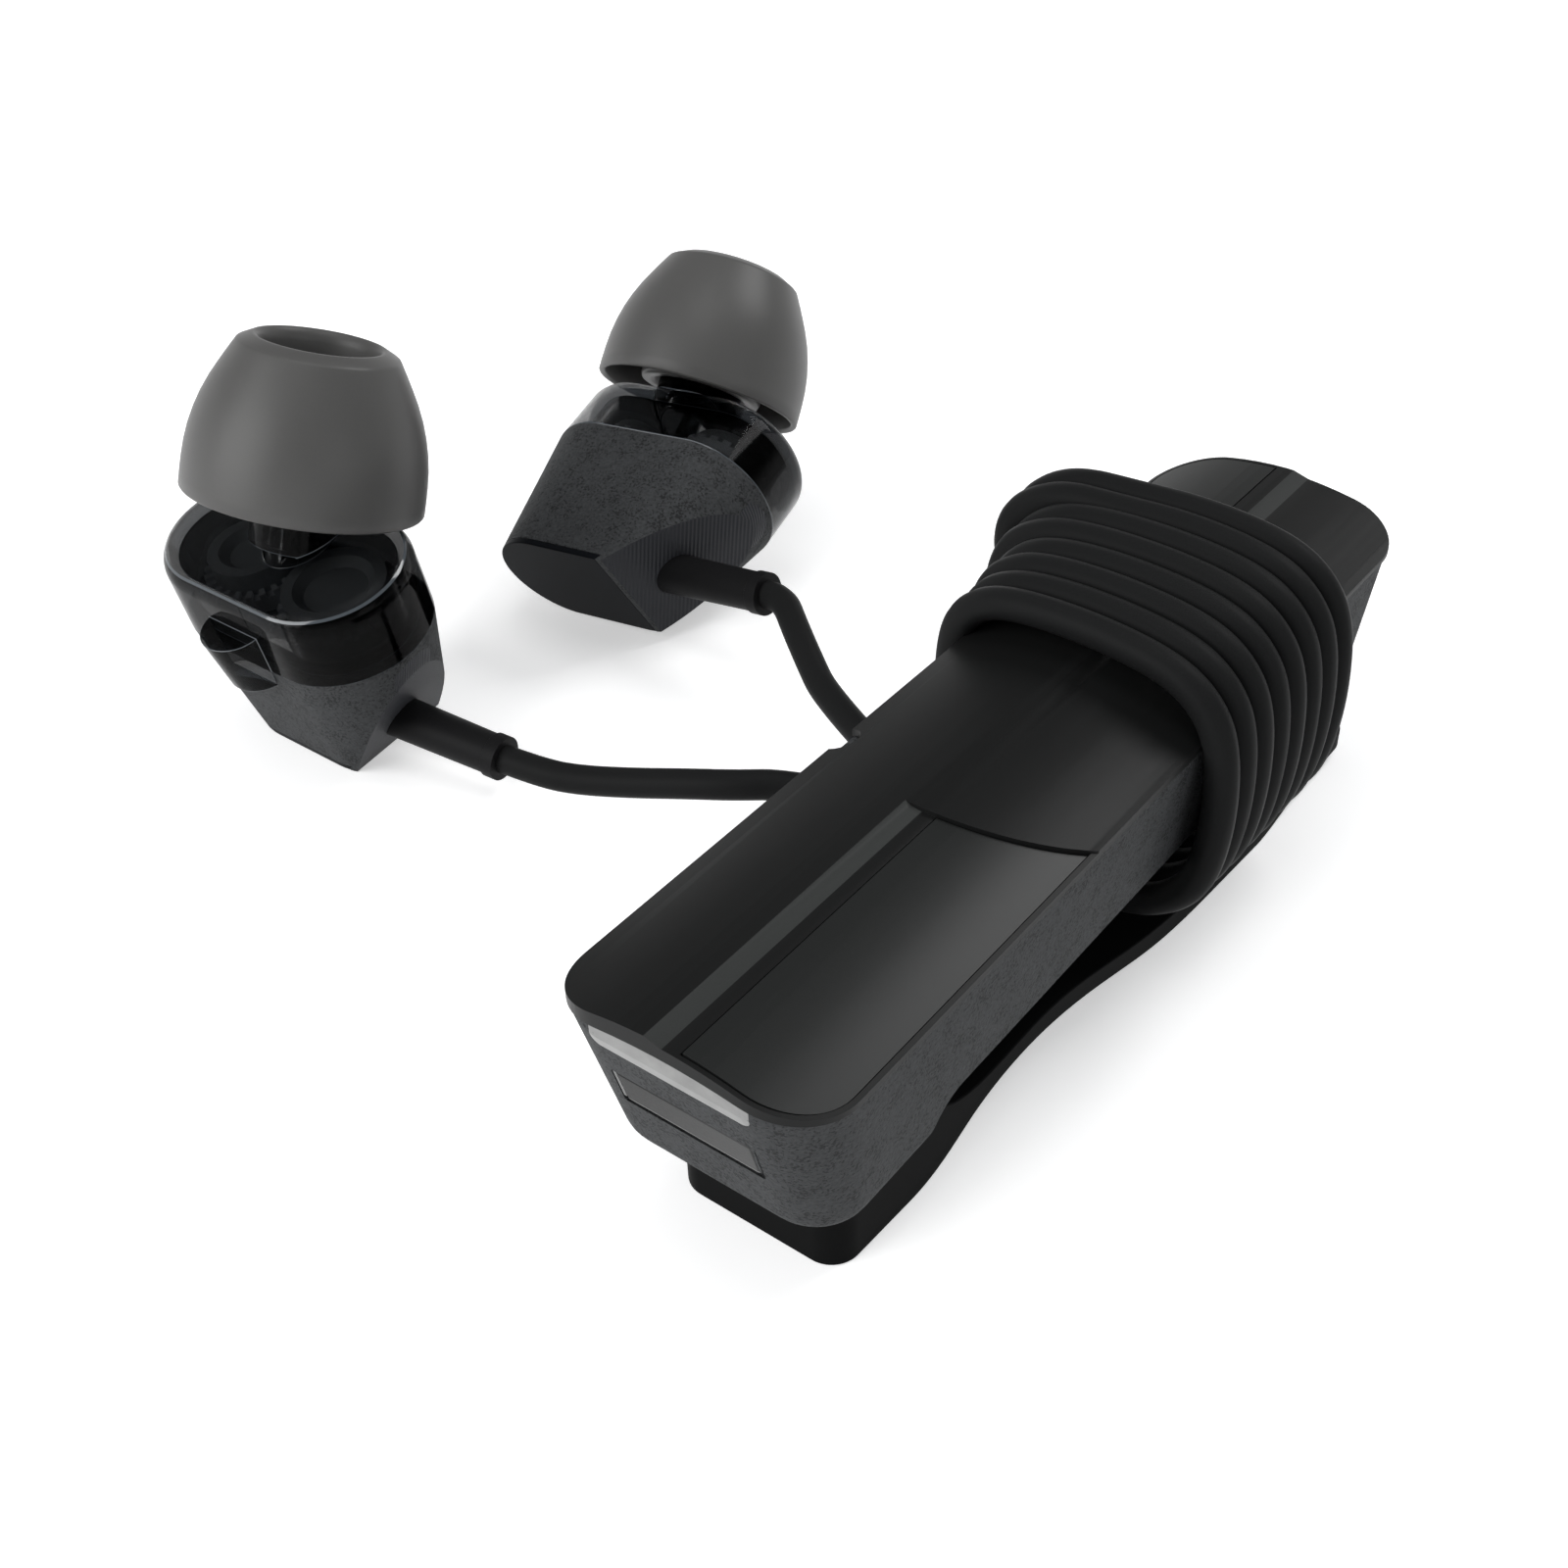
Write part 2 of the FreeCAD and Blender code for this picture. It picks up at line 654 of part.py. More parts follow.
def make_clip():
    floor_z = rim_height - housing_depth
    pin_y = far_end - pin_setback
    half = hub_width / 2
    level = V(0, 1, 0)
    back = V(0, -1, 0)
    tail = along(foot_start + clip_length)

    def at(distance, z):
        return V(-half, along(distance), z)

    rise = (foot_end + arch_along) / 2
    fall = (arch_along + belly_start) / 2
    rise_z = arch_height * arch_rise_share
    fall_z = arch_height * arch_fall_share
    edges = [
        line(at(foot_start, 0), at(foot_end, 0)),
        spline([at(foot_end, 0), at(rise, rise_z), at(arch_along, arch_height),
                at(fall, fall_z), at(belly_start, 0)], level, level),
        line(at(belly_start, 0), at(belly_end, 0)),
        spline([at(belly_end, 0), at(belly_end + foot_end / 2, tail_height)], level, level),
        line(at(belly_end + foot_end / 2, tail_height), V(-half, tail, tail_height)),
        line(V(-half, tail, tail_height), V(-half, tail, tail_height + arm_thickness)),
        line(V(-half, tail, tail_height + arm_thickness),
             at(belly_end + foot_end / 2, tail_height + arm_thickness)),
        spline([at(belly_end + foot_end / 2, tail_height + arm_thickness), at(belly_end, arm_thickness)],
               back, back),
        line(at(belly_end, arm_thickness), at(belly_start, arm_thickness)),
        spline([at(belly_start, arm_thickness), at(fall, fall_z + arm_thickness),
                at(arch_along, arch_height + arm_thickness),
                at(ridge_end + ridge_run, arch_height + arm_thickness * ridge_run_share),
                at(ridge_end, floor_z - ridge_gap)], back, back),
        line(at(ridge_end, floor_z - ridge_gap), at(ridge_start, floor_z - ridge_gap)),
        line(at(ridge_start, floor_z - ridge_gap), at(foot_start, foot_front_height)),
        line(at(foot_start, foot_front_height), at(foot_start, 0)),
    ]
    arm = face_of(edges).extrude(V(half * 2, 0, 0))
    y0 = along(foot_start)
    y1 = along(belly_end)
    corner = clip_corner
    bend = corner * (1 - math.sqrt(0.5))
    outline = [
        line(V(corner - foot_half_width, y0, -overrun), V(foot_half_width - corner, y0, -overrun)),
        arc(V(foot_half_width - corner, y0, -overrun), V(foot_half_width - bend, y0 + bend, -overrun),
            V(foot_half_width, y0 + corner, -overrun)),
        line(V(foot_half_width, y0 + corner, -overrun), V(belly_half_width, y1, -overrun)),
        line(V(belly_half_width, y1, -overrun), V(belly_half_width, tail - corner, -overrun)),
        arc(V(belly_half_width, tail - corner, -overrun), V(belly_half_width - bend, tail - bend, -overrun),
            V(belly_half_width - corner, tail, -overrun)),
        line(V(belly_half_width - corner, tail, -overrun), V(corner - belly_half_width, tail, -overrun)),
        arc(V(corner - belly_half_width, tail, -overrun), V(bend - belly_half_width, tail - bend, -overrun),
            V(-belly_half_width, tail - corner, -overrun)),
        line(V(-belly_half_width, tail - corner, -overrun), V(-belly_half_width, y1, -overrun)),
        line(V(-belly_half_width, y1, -overrun), V(-foot_half_width, y0 + corner, -overrun)),
        arc(V(-foot_half_width, y0 + corner, -overrun), V(bend - foot_half_width, y0 + bend, -overrun),
            V(corner - foot_half_width, y0, -overrun)),
    ]
    arm = arm.common(face_of(outline).extrude(V(0, 0, rim_height)))
    for side in (-1, 1):
        x0 = min(side * knuckle_inner, side * knuckle_outer)
        width = knuckle_outer - knuckle_inner
        web = box(x0, x0 + width, pin_y - knuckle_radius, pin_y + knuckle_radius,
                  tail_height + arm_thickness / 2, pin_height)
        arm = arm.fuse(web).fuse(cylinder(knuckle_radius, width, V(x0, pin_y, pin_height), X_AXIS))
    bore = cylinder(pin_radius + running_gap, knuckle_outer * 2 + overrun,
                    V(-knuckle_outer - overrun / 2, pin_y, pin_height), X_AXIS)
    return clean(arm.cut(bore))


def make_pin():
    reach = knuckle_outer + lug_gap + lug_thickness
    return cylinder(pin_radius, reach * 2, V(-reach, far_end - pin_setback, pin_height), X_AXIS)


def biarc(start, start_way, end, end_way):
    """Two tangent arcs from start to end that leave and arrive along the given ways."""
    a = V(start_way).normalize()
    b = V(end_way).normalize()
    span = end - start
    both = a + b
    spread = 2 * (1 - a.dot(b))
    reach = span.dot(both)
    if spread < 1e-9:
        step = span.dot(span) / (2 * reach) / 2
    else:
        step = (math.sqrt(reach ** 2 + spread * span.dot(span)) - reach) / spread
    middle = (start + a * step + end - b * step) * 0.5
    return [tangent_arc(start, a, middle), tangent_arc(end, b * -1, middle)]


def tangent_arc(start, way, end):
    chord = end - start
    length = chord.Length
    unit = V(chord).normalize()
    side = way - unit * way.dot(unit)
    if side.Length < 1e-7:
        return line(start, end)
    half_turn = math.atan2(side.Length, way.dot(unit))
    bow = V(side).normalize() * (length / 2 * math.tan(half_turn / 2))
    return arc(start, (start + end) * 0.5 + bow, end)


def tube(edges, diameter):
    """A round tube along the edges, in default sweep mode."""
    wire = Part.Wire(Part.__sortEdges__(edges))
    first = wire.OrderedEdges[0]
    start = wire.OrderedVertexes[0].Point
    way = first.tangentAt(first.FirstParameter)
    if first.Orientation == "Reversed":
        way = first.tangentAt(first.LastParameter) * -1
    ring = Part.Wire([Part.Circle(start, way, diameter / 2).toShape()])
    solid = wire.makePipeShell([ring], True, False)
    return solid, wire


def least_self_gap(wire, diameter, per_piece, skip):
    """Least gap between stretches of one tube that are more than skip apart along it."""
    points = wire.discretize(per_piece)
    step = wire.Length / (per_piece - 1)
    away = int(skip / step) + 1
    least = wide
    for i in range(len(points)):
        for j in range(i + away, len(points)):
            least = min(least, points[i].distanceToPoint(points[j]))
    return least - diameter


def make_spring():
    pin_y = far_end - pin_setback
    half_span = spring_turns * spring_pitch / 2
    quarters = spring_turns * 4 + 2
    edges = []
    points = []
    ways = []
    for step in range(quarters + 1):
        turn = math.radians(90 * step)
        x = -half_span + (spring_turns * spring_pitch) * step / quarters
        points.append(V(x, pin_y - spring_coil_radius * math.sin(turn) * -1,
                        pin_height + spring_coil_radius * math.cos(turn)))
        slope = spring_turns * spring_pitch / quarters / (math.pi / 2)
        ways.append(V(slope, spring_coil_radius * math.cos(turn), -spring_coil_radius * math.sin(turn)))
    lead = points[0] - V(0, spring_leg, 0)
    edges.append(line(lead, points[0]))
    ways[0] = V(0, 1, 0)
    ways[-1] = V(0, -1, 0)
    for a, b, way_a, way_b in zip(points, points[1:], ways, ways[1:]):
        edges += biarc(a, way_a, b, way_b)
    edges.append(line(points[-1], points[-1] - V(0, spring_leg, 0)))
    solid, wire = tube(edges, spring_wire)
    print("clip spring least gap to itself", round(least_self_gap(wire, spring_wire, 300, spring_wire * 4), 3))
    return solid


def lead_in(first):
    """Where a cord's winding starts under the hub, and the way it runs there."""
    start = V(-lead_in_width, strand_y(first) - lead_in_setback, loop_bottom)
    return start, V(1, lead_in_slope_share, 0).normalize()


def winding_route(first):
    """Eighth points and directions of one cord's turns. first is its strand nearest the port end."""
    pitch = strand_pitch * 2
    slope = pitch / 8
    y = strand_y(first)
    start, way = lead_in(first)
    points = [start]
    ways = [way]
    diagonal = math.sqrt(0.5)
    for turn in range(winding_turns):
        last = turn == winding_turns - 1
        share = turn / (winding_turns - 1)
        next_share = min(1, (turn + 1) / (winding_turns - 1))
        low = loop_bottom + (loop_far_bottom - loop_bottom) * share
        next_low = loop_bottom + (loop_far_bottom - loop_bottom) * next_share
        top = loop_top + (loop_far_top - loop_top) * share
        middle = (top + low) / 2
        bulge = bulge_half_width if last else loop_half_width
        shoulder = bulge - loop_half_width + loop_shoulder_width
        lean = slope / loop_shoulder_width
        stops = [
            (loop_shoulder_width, low + loop_shoulder_drop, V(diagonal, lean, diagonal)),
            (loop_half_width, middle, V(0, lean, 1)),
            (loop_shoulder_width, top - loop_shoulder_drop, V(-diagonal, lean, diagonal)),
            (0, top, V(-1, lean, 0)),
            (-shoulder, top - loop_shoulder_drop, V(-diagonal, lean, -diagonal)),
        ]
        if last:
            stops.append((-bulge, grommet_height + bulge_bend, V(0, 0, -1)))
            stops.append((bulge_bend - bulge, grommet_height, V(1, 0, 0)))
        else:
            stops.append((-bulge, middle, V(0, lean, -1)))
            stops.append((-shoulder, next_low + loop_shoulder_drop, V(diagonal, lean, -diagonal)))
            stops.append((0, next_low, V(1, lean, 0)))
        for count, (x, z, way) in enumerate(stops, start=1):
            points.append(V(x, min(y + slope * count, inner_end_y(first)), z))
            ways.append(way)
        y += pitch
    return points, ways


def make_winding(first, name):
    points, ways = winding_route(first)
    edges = [line(points[0], points[0] + ways[0] * cord_diameter)]
    points[0] = points[0] + ways[0] * cord_diameter
    for a, b, way_a, way_b in zip(points, points[1:], ways, ways[1:]):
        edges += biarc(a, way_a, b, way_b)
    edges.append(line(points[-1], V(-half_width - grommet_length, points[-1].y, points[-1].z)))
    solid, wire = tube(edges, cord_diameter)
    section = math.pi * cord_diameter ** 2 / 4
    print(name, "length", round(wire.Length, 1), "volume share", round(solid.Volume / (section * wire.Length), 4),
          "least gap", round(least_self_gap(wire, cord_diameter, 500, cord_diameter * 4), 2))
    return solid


def stretch_edges(points, name):
    """Straight runs joined by tangent arcs, each as large as its two runs allow."""
    edges = []
    cursor = points[0]
    radii = []
    for before, corner, after in zip(points, points[1:], points[2:]):
        back = before - corner
        ahead = after - corner
        shorter = min(back.Length, ahead.Length)
        half_turn = (math.pi - back.getAngle(ahead)) / 2
        radius = 0.45 * shorter / math.tan(half_turn)
        radii.append(round(radius, 1))
        reach = 0.45 * shorter
        start = corner + V(back).normalize() * reach
        end = corner + V(ahead).normalize() * reach
        edges.append(line(cursor, start))
        edges.append(tangent_arc(start, V(back).normalize() * -1, end))
        cursor = end
    edges.append(line(cursor, points[-1]))
    print(name, "radii", radii)
    return edges


def make_stretch(points, name):
    solid, wire = tube(stretch_edges(points, name), cord_diameter)
    section = math.pi * cord_diameter ** 2 / 4
    print(name, "length", round(wire.Length, 1), "volume share", round(solid.Volume / (section * wire.Length), 4))
    return solid


def stadium(r, s, z):
    """The shell's outline: two round ends joined by straight sides."""
    return Part.Wire([
        line(V(-s, -r, z), V(s, -r, z)),
        arc(V(s, -r, z), V(s + r, 0, z), V(s, r, z)),
        line(V(s, r, z), V(-s, r, z)),
        arc(V(-s, r, z), V(-s - r, 0, z), V(-s, -r, z)),
    ])


def under_plane(point, normal, size):
    """A large block that ends at the plane through point and lies on the side away from normal."""
    block = Part.makeBox(size * 2, size * 2, size, V(-size, -size, -size))
    block.Placement = FreeCAD.Placement(point, FreeCAD.Rotation(Z_AXIS, normal))
    return block


nozzle_way = V(0, math.sin(math.radians(nozzle_lean)), math.cos(math.radians(nozzle_lean)))
nozzle_base = V(nozzle_shift, nozzle_side, 0)
end_slope = math.tan(math.radians(stand_tilt))
end_normal = V(0, -end_slope, -1).normalize()
facet = math.radians(cable_facet_angle)
cable_normal = V(math.sin(facet), 0, -math.cos(facet))
ridge_point = V(ridge_across, 0, -bud_depth)


def bud_loft(inset=0):
    """The rear body's tapering outline, drawn in by inset."""
    bottom = bud_depth + (lobe_radius + lobe_spread) * end_slope
    share = 1 - (1 - bud_end_share) * (bottom - shell_depth) / (bud_depth - shell_depth)
    return Part.makeLoft([stadium(lobe_radius * share - inset, lobe_spread * share, -bottom),
                          stadium(lobe_radius - inset, lobe_spread, -shell_depth)], True, True)


def bud_pieces():
    """All pieces of the left earbud in its own axes, as a dict of name to solid."""
    pieces = {}
    loft = bud_loft()
    size = lobe_radius * 4
    past_end = under_plane(ridge_point, end_normal * -1, size)
    past_cable = under_plane(ridge_point, cable_normal * -1, size)
    whole = loft.cut(past_end).cut(past_cable)
    in_end = under_plane(ridge_point - end_normal * cap_thickness, end_normal * -1, size)
    in_cable = under_plane(ridge_point - cable_normal * cap_thickness, cable_normal * -1, size)
    body = whole.cut(in_end).cut(in_cable)
    core = bud_loft(rear_wall)
    core = core.cut(under_plane(ridge_point - end_normal * (cap_thickness + rear_wall), end_normal * -1, size))
    core = core.cut(under_plane(ridge_point - cable_normal * (cap_thickness + rear_wall), cable_normal * -1, size))
    body = body.cut(core)
    pieces["end_cap"] = clean(whole.common(in_end).cut(in_cable))
    cable_cap = whole.common(in_cable)
    # Strain relief: a tapered sleeve with a lip, seated in the cable cap
    start = V(relief_start, relief_side, -relief_height)
    way = V(relief_length, relief_rise_side, -relief_drop)
    length = way.Length
    sleeve = Part.makeCone(relief_radius, relief_end_radius, length, start, way)
    lip = cylinder(relief_end_radius + relief_lip, relief_lip_length,
                   start + V(way).normalize() * (length - relief_lip_length), way)
    relief = sleeve.fuse(lip)
    inner = under_plane(ridge_point - cable_normal * (cap_thickness + relief_seat), cable_normal, size)
    relief = relief.cut(inner)
    pieces["strain_relief"] = clean(relief)
    pieces["cable_cap"] = clean(cable_cap.cut(relief))
    body = body.cut(relief)
    # Front shell: a rounded oblong box with its nozzle and nub
    shell = Part.Face(stadium(lobe_radius, lobe_spread, -shell_depth)).extrude(V(0, 0, shell_depth))
    top_edges = [e for e in shell.Edges if abs(e.BoundBox.ZMin) < 1e-6]
    shell = shell.makeFillet(shell_round, top_edges)
    neck = cylinder(nozzle_radius, nozzle_length, nozzle_base - nozzle_way * shell_round, nozzle_way)
    barb_at = nozzle_length - shell_round - barb_length * 2
    barb = Part.makeCone(nozzle_radius + barb_rise, nozzle_radius, barb_length,
                         nozzle_base + nozzle_way * barb_at, nozzle_way)
    nub = nub_block()
    hollow = Part.Face(stadium(lobe_radius - shell_wall, lobe_spread, -shell_depth)).extrude(
        V(0, 0, shell_depth - shell_wall))
    shell = shell.fuse(neck).fuse(barb).fuse(nub).cut(hollow)
    bore = cylinder(nozzle_bore, nozzle_length * 2, nozzle_base - nozzle_way * shell_depth, nozzle_way)
    shell = shell.cut(bore.common(under_plane(V(0, 0, -shell_wall - seat_gap), V(0, 0, -1), size)))
    pieces["front_shell"] = clean(shell)
    mouth = nozzle_base + nozzle_way * (nozzle_length - shell_round - mesh_thickness * 2)
    pieces["nozzle_mesh"] = cylinder(nozzle_bore - seat_gap, mesh_thickness, mouth, nozzle_way)
    seat_z = -driver_top - driver_height - seat_gap
    carrier = Part.Face(stadium(lobe_radius - shell_wall - seat_gap, lobe_spread, -shell_depth)).extrude(
        V(0, 0, seat_z + shell_depth))
    for name, radius, x in (("large", large_driver_radius, driver_spread),
                            ("small", small_driver_radius, -driver_spread)):
        can_radius = radius - ring_width
        can = cylinder(can_radius - seat_gap, driver_height, V(x, 0, -driver_top - driver_height), Z_AXIS)
        dish = Part.makeCone(can_radius - driver_rim - driver_dish, can_radius - driver_rim, driver_dish,
                             V(x, 0, -driver_top - driver_dish), Z_AXIS)
        pieces[name + "_driver"] = clean(can.cut(dish))
        pieces[name + "_driver_ring"] = toothed_ring(radius, x)
        sound_hole = cylinder(can_radius - driver_rim, shell_depth, V(x, 0, -shell_depth * 2 + overrun), Z_AXIS)
        carrier = carrier.cut(sound_hole.common(under_plane(V(x, 0, seat_z + seat_gap), Z_AXIS, size)))
    pieces["driver_carrier"] = clean(carrier)
    pieces["rear_body"] = clean(body)
    pieces["ear_tip"] = make_tip()
    return pieces


def toothed_ring(radius, x):
    """A ring with teeth round its top edge, that holds a driver."""
    top = -driver_top - ring_drop
    low = -driver_top - driver_height
    ring = cylinder(radius, top - low, V(x, 0, low), Z_AXIS)
    ring = ring.cut(cylinder(radius - ring_width, shell_depth, V(x, 0, -shell_depth), Z_AXIS))
    slots = []
    for index in range(ring_teeth):
        slot = box(-tooth_width / 2, tooth_width / 2, radius - ring_width - seat_gap, radius + overrun,
                   top - tooth_depth, top + overrun)
        slot.rotate(V(0, 0, 0), Z_AXIS, 360 * index / ring_teeth)
        slot.translate(V(x, 0, 0))
        slots.append(slot)
    return clean(ring.cut(slots))


def nub_block():
    """A half-round lug on the shell's flat side, drawn in towards its foot."""
    side = -lobe_radius
    inside = side + shell_wall / 2

    def outline(z, reach):
        return Part.Wire([
            line(V(-nub_half_width, inside, z), V(nub_half_width, inside, z)),
            line(V(nub_half_width, inside, z), V(nub_half_width, side, z)),
            arc(V(nub_half_width, side, z), V(0, side - reach, z), V(-nub_half_width, side, z)),
            line(V(-nub_half_width, side, z), V(-nub_half_width, inside, z)),
        ])

    upper = Part.makeLoft([outline(-nub_bottom, nub_foot_reach), outline(-nub_top, nub_reach)], True, True)
    clear = box(-nub_half_width - overrun, nub_half_width + overrun, side, side + overrun,
                -nub_bottom - overrun, -shell_depth)
    return upper.cut(clear)


def make_tip():
    """Ear tip: a bell folded back over a tube that grips the nozzle."""
    inner_tube = nozzle_radius + barb_rise + seat_gap
    tube_radius = inner_tube + tip_tube_wall
    top = tip_height
    tube_top = top - tip_mouth_depth
    outer = Part.BSplineCurve()
    outer.interpolate([V(tip_rim_radius, 0, 0), V(tip_belly_radius, 0, tip_belly_height),
                       V(tip_shoulder_radius, 0, tip_shoulder_height), V(tip_ring_radius, 0, tip_ring_height)])
    under = Part.BSplineCurve()
    under.interpolate([V(tube_radius, 0, tube_top - tip_wall),
                       V(tip_shoulder_radius - tip_wall, 0, tip_shoulder_height - tip_wall),
                       V(tip_belly_radius - tip_wall / 2, 0, tip_belly_height),
                       V(tip_rim_radius - tip_wall / 4, 0, 0)])
    edges = [
        outer.toShape(),
        line(V(tip_ring_radius, 0, tip_ring_height), V(tip_mouth_radius, 0, top)),
        line(V(tip_mouth_radius, 0, top), V(inner_tube, 0, tube_top)),
        line(V(inner_tube, 0, tube_top), V(inner_tube, 0, 0)),
        line(V(inner_tube, 0, 0), V(tube_radius, 0, 0)),
        line(V(tube_radius, 0, 0), V(tube_radius, 0, tube_top - tip_wall)),
        under.toShape(),
        line(V(tip_rim_radius - tip_wall / 4, 0, 0), V(tip_rim_radius, 0, 0)),
    ]
    tip = face_of(edges).revolve(V(0, 0, 0), Z_AXIS, 360)
    tip.Placement = FreeCAD.Placement(nozzle_base + nozzle_way * tip_start, FreeCAD.Rotation(Z_AXIS, nozzle_way))
    return Part.Solid(tip) if tip.ShapeType == "Shell" else tip


def mirrored(shape):
    return shape.mirror(V(0, 0, 0), Y_AXIS)


def left_placement():
    turn = FreeCAD.Rotation(X_AXIS, stand_tilt)
    foot = turn.multVec(ridge_point)
    return FreeCAD.Placement(V(left_bud_place[0], left_bud_place[1], floor_gap - foot.z), turn)


def right_turn():
    return FreeCAD.Rotation(Z_AXIS, right_bud_yaw).multiply(FreeCAD.Rotation(Y_AXIS, right_bud_roll)).multiply(
        FreeCAD.Rotation(X_AXIS, right_bud_lie))


def export(shape, name):
    shape.exportStep(os.path.join("parts", name + ".step"))
    box_of = shape.BoundBox
    print(name, "solids", len(shape.Solids), "valid", shape.isValid(), "volume", round(shape.Volume, 2),
          "box", [round(value, 2) for value in (box_of.XMin, box_of.XMax, box_of.YMin, box_of.YMax, box_of.ZMin,
                                                box_of.ZMax)])


os.makedirs("parts", exist_ok=True)

hub_pieces = {
    "housing": make_housing(),
    "top_cover": make_cover(),
    "front_button": make_button(True),
    "rear_button": make_button(False),
    "light_window": make_window(),
    "light_emitter": make_emitter(),
    "port_door": make_door(),
    "charge_socket": make_socket(),
    "circuit_board": make_board(),
    "battery": make_battery(),
    "front_switch": make_switch(True),
    "rear_switch": make_switch(False),
    "clip": make_clip(),
    "clip_pin": make_pin(),
    "clip_spring": make_spring(),
}
for node, shape in hub_pieces.items():
    export(shape, node)

left_pieces = bud_pieces()
right_pieces = {name: mirrored(shape) for name, shape in left_pieces.items()}
left_place = left_placement()
turn = right_turn()
lowest = wide
for name in ("front_shell", "end_cap", "rear_body"):
    trial = right_pieces[name].copy()
    trial.Placement = FreeCAD.Placement(V(0, 0, 0), turn)
    lowest = min(lowest, trial.optimalBoundingBox().ZMin)
right_place = FreeCAD.Placement(V(right_bud_place[0], right_bud_place[1], floor_gap - lowest), turn)
for side, pieces, place in (("left", left_pieces, left_place), ("right", right_pieces, right_place)):
    for name, shape in pieces.items():
        shape.Placement = place.multiply(shape.Placement)
        export(shape, side + "_" + name)
relief_tip = V(relief_start + relief_length, relief_side + relief_rise_side, -relief_height - relief_drop)
relief_way = V(relief_length, relief_rise_side, -relief_drop)
mirror_tip = V(relief_tip.x, -relief_tip.y, relief_tip.z)
mirror_way = V(relief_way.x, -relief_way.y, relief_way.z)
print("left relief end", left_place.multVec(relief_tip), left_place.Rotation.multVec(relief_way))
print("right relief end", right_place.multVec(mirror_tip), right_place.Rotation.multVec(mirror_way))
print("left nozzle", left_place.multVec(nozzle_base), left_place.Rotation.multVec(nozzle_way))
mirror_nozzle = V(nozzle_way.x, -nozzle_way.y, nozzle_way.z)
print("right nozzle", right_place.Rotation.multVec(mirror_nozzle))


def cord_points(tip, way, route, first):
    """From the strain relief, along the chosen route, to where the winding starts."""
    start, lead = lead_in(first)
    way = V(way).normalize()
    return [tip, tip + way * cord_lead_out] + [V(*point) for point in route] + [start - lead * cord_lead_in, start]


left_points = cord_points(left_place.multVec(relief_tip), left_place.Rotation.multVec(relief_way),
                          left_cord_route, left_first)
right_points = cord_points(right_place.multVec(mirror_tip), right_place.Rotation.multVec(mirror_way),
                           right_cord_route, right_first)
export(make_stretch(left_points, "left cord"), "left_cord")
export(make_stretch(right_points, "right cord"), "right_cord")
export(make_winding(left_first, "left winding"), "left_cord_winding")
export(make_winding(right_first, "right winding"), "right_cord_winding")
export(grommet_block(grommet_length + housing_inset + wall + grommet_tail), "cord_grommet")
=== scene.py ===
# %% [markdown]
# # In-ear earphones wound round a clip-on hub
#
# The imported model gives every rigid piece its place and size. This file dresses it: it gives each piece its
# real finish, replaces the soft pieces and the cords with fuller ones, and sets up the camera and the lights.

import json
import math

import bmesh
import bpy
from mathutils import Matrix, Vector


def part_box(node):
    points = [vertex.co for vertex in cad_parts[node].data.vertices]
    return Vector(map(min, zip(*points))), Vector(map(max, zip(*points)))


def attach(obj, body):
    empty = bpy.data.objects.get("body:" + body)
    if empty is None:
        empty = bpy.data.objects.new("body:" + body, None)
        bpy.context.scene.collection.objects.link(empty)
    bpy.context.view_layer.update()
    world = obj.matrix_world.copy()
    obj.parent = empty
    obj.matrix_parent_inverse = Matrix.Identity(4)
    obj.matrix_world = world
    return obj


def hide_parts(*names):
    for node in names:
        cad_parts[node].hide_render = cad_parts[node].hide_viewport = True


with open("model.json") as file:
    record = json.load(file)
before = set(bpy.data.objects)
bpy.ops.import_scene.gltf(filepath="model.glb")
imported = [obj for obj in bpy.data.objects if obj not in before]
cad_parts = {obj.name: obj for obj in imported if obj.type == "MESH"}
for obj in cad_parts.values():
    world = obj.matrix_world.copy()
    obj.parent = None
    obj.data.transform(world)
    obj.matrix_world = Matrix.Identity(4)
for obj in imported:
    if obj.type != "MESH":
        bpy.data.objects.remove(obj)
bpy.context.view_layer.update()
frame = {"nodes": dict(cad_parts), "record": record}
print("nodes", len(frame["nodes"]))

MM = 0.001
scene = bpy.context.scene
scene.view_settings.view_transform = "Standard"


def on(*sizes):
    """A point given in millimetres, in metres."""
    return Vector(sizes) * MM


# %% [markdown]
# ## The camera
#
# The hub is a block with straight parallel edges, so its outline in the picture fixes where the camera stood.
# The lens and the three angles below come from lines along the hub's length, width and height.

# %% Camera
camera_data = bpy.data.cameras.new("camera")
camera_data.sensor_width = 36
camera_data.lens = 45.5
camera_data.clip_start = 0.002
camera = bpy.data.objects.new("camera", camera_data)
scene.collection.objects.link(camera)
scene.camera = camera

azimuth = math.radians(38.43)
elevation = math.radians(38.12)
roll = math.radians(-1.97)
camera_place = on(37.28, -46.4, 70.22)
back = Vector((math.sin(azimuth) * math.cos(elevation),
               -math.cos(azimuth) * math.cos(elevation),
               math.sin(elevation)))
side = Vector((0, 0, 1)).cross(back).normalized()
up = back.cross(side)
right_hand = math.cos(roll) * side + math.sin(roll) * up
head = math.cos(roll) * up - math.sin(roll) * side
turn = Matrix((right_hand, head, back)).transposed().to_4x4()
camera.matrix_world = Matrix.Translation(camera_place) @ turn
print("camera at", [round(v / MM, 1) for v in camera.location], "mm")

# %% [markdown]
# ## Background and lights
#
# The picture is cut out on white. The world is a white room with a dim ceiling, and both show only to the camera,
# in glass and in reflections. A white ceiling would turn black plastic grey when it is seen from above. The light
# that reaches the object comes from a weak, even room light and from lamps, so the two can be set apart.

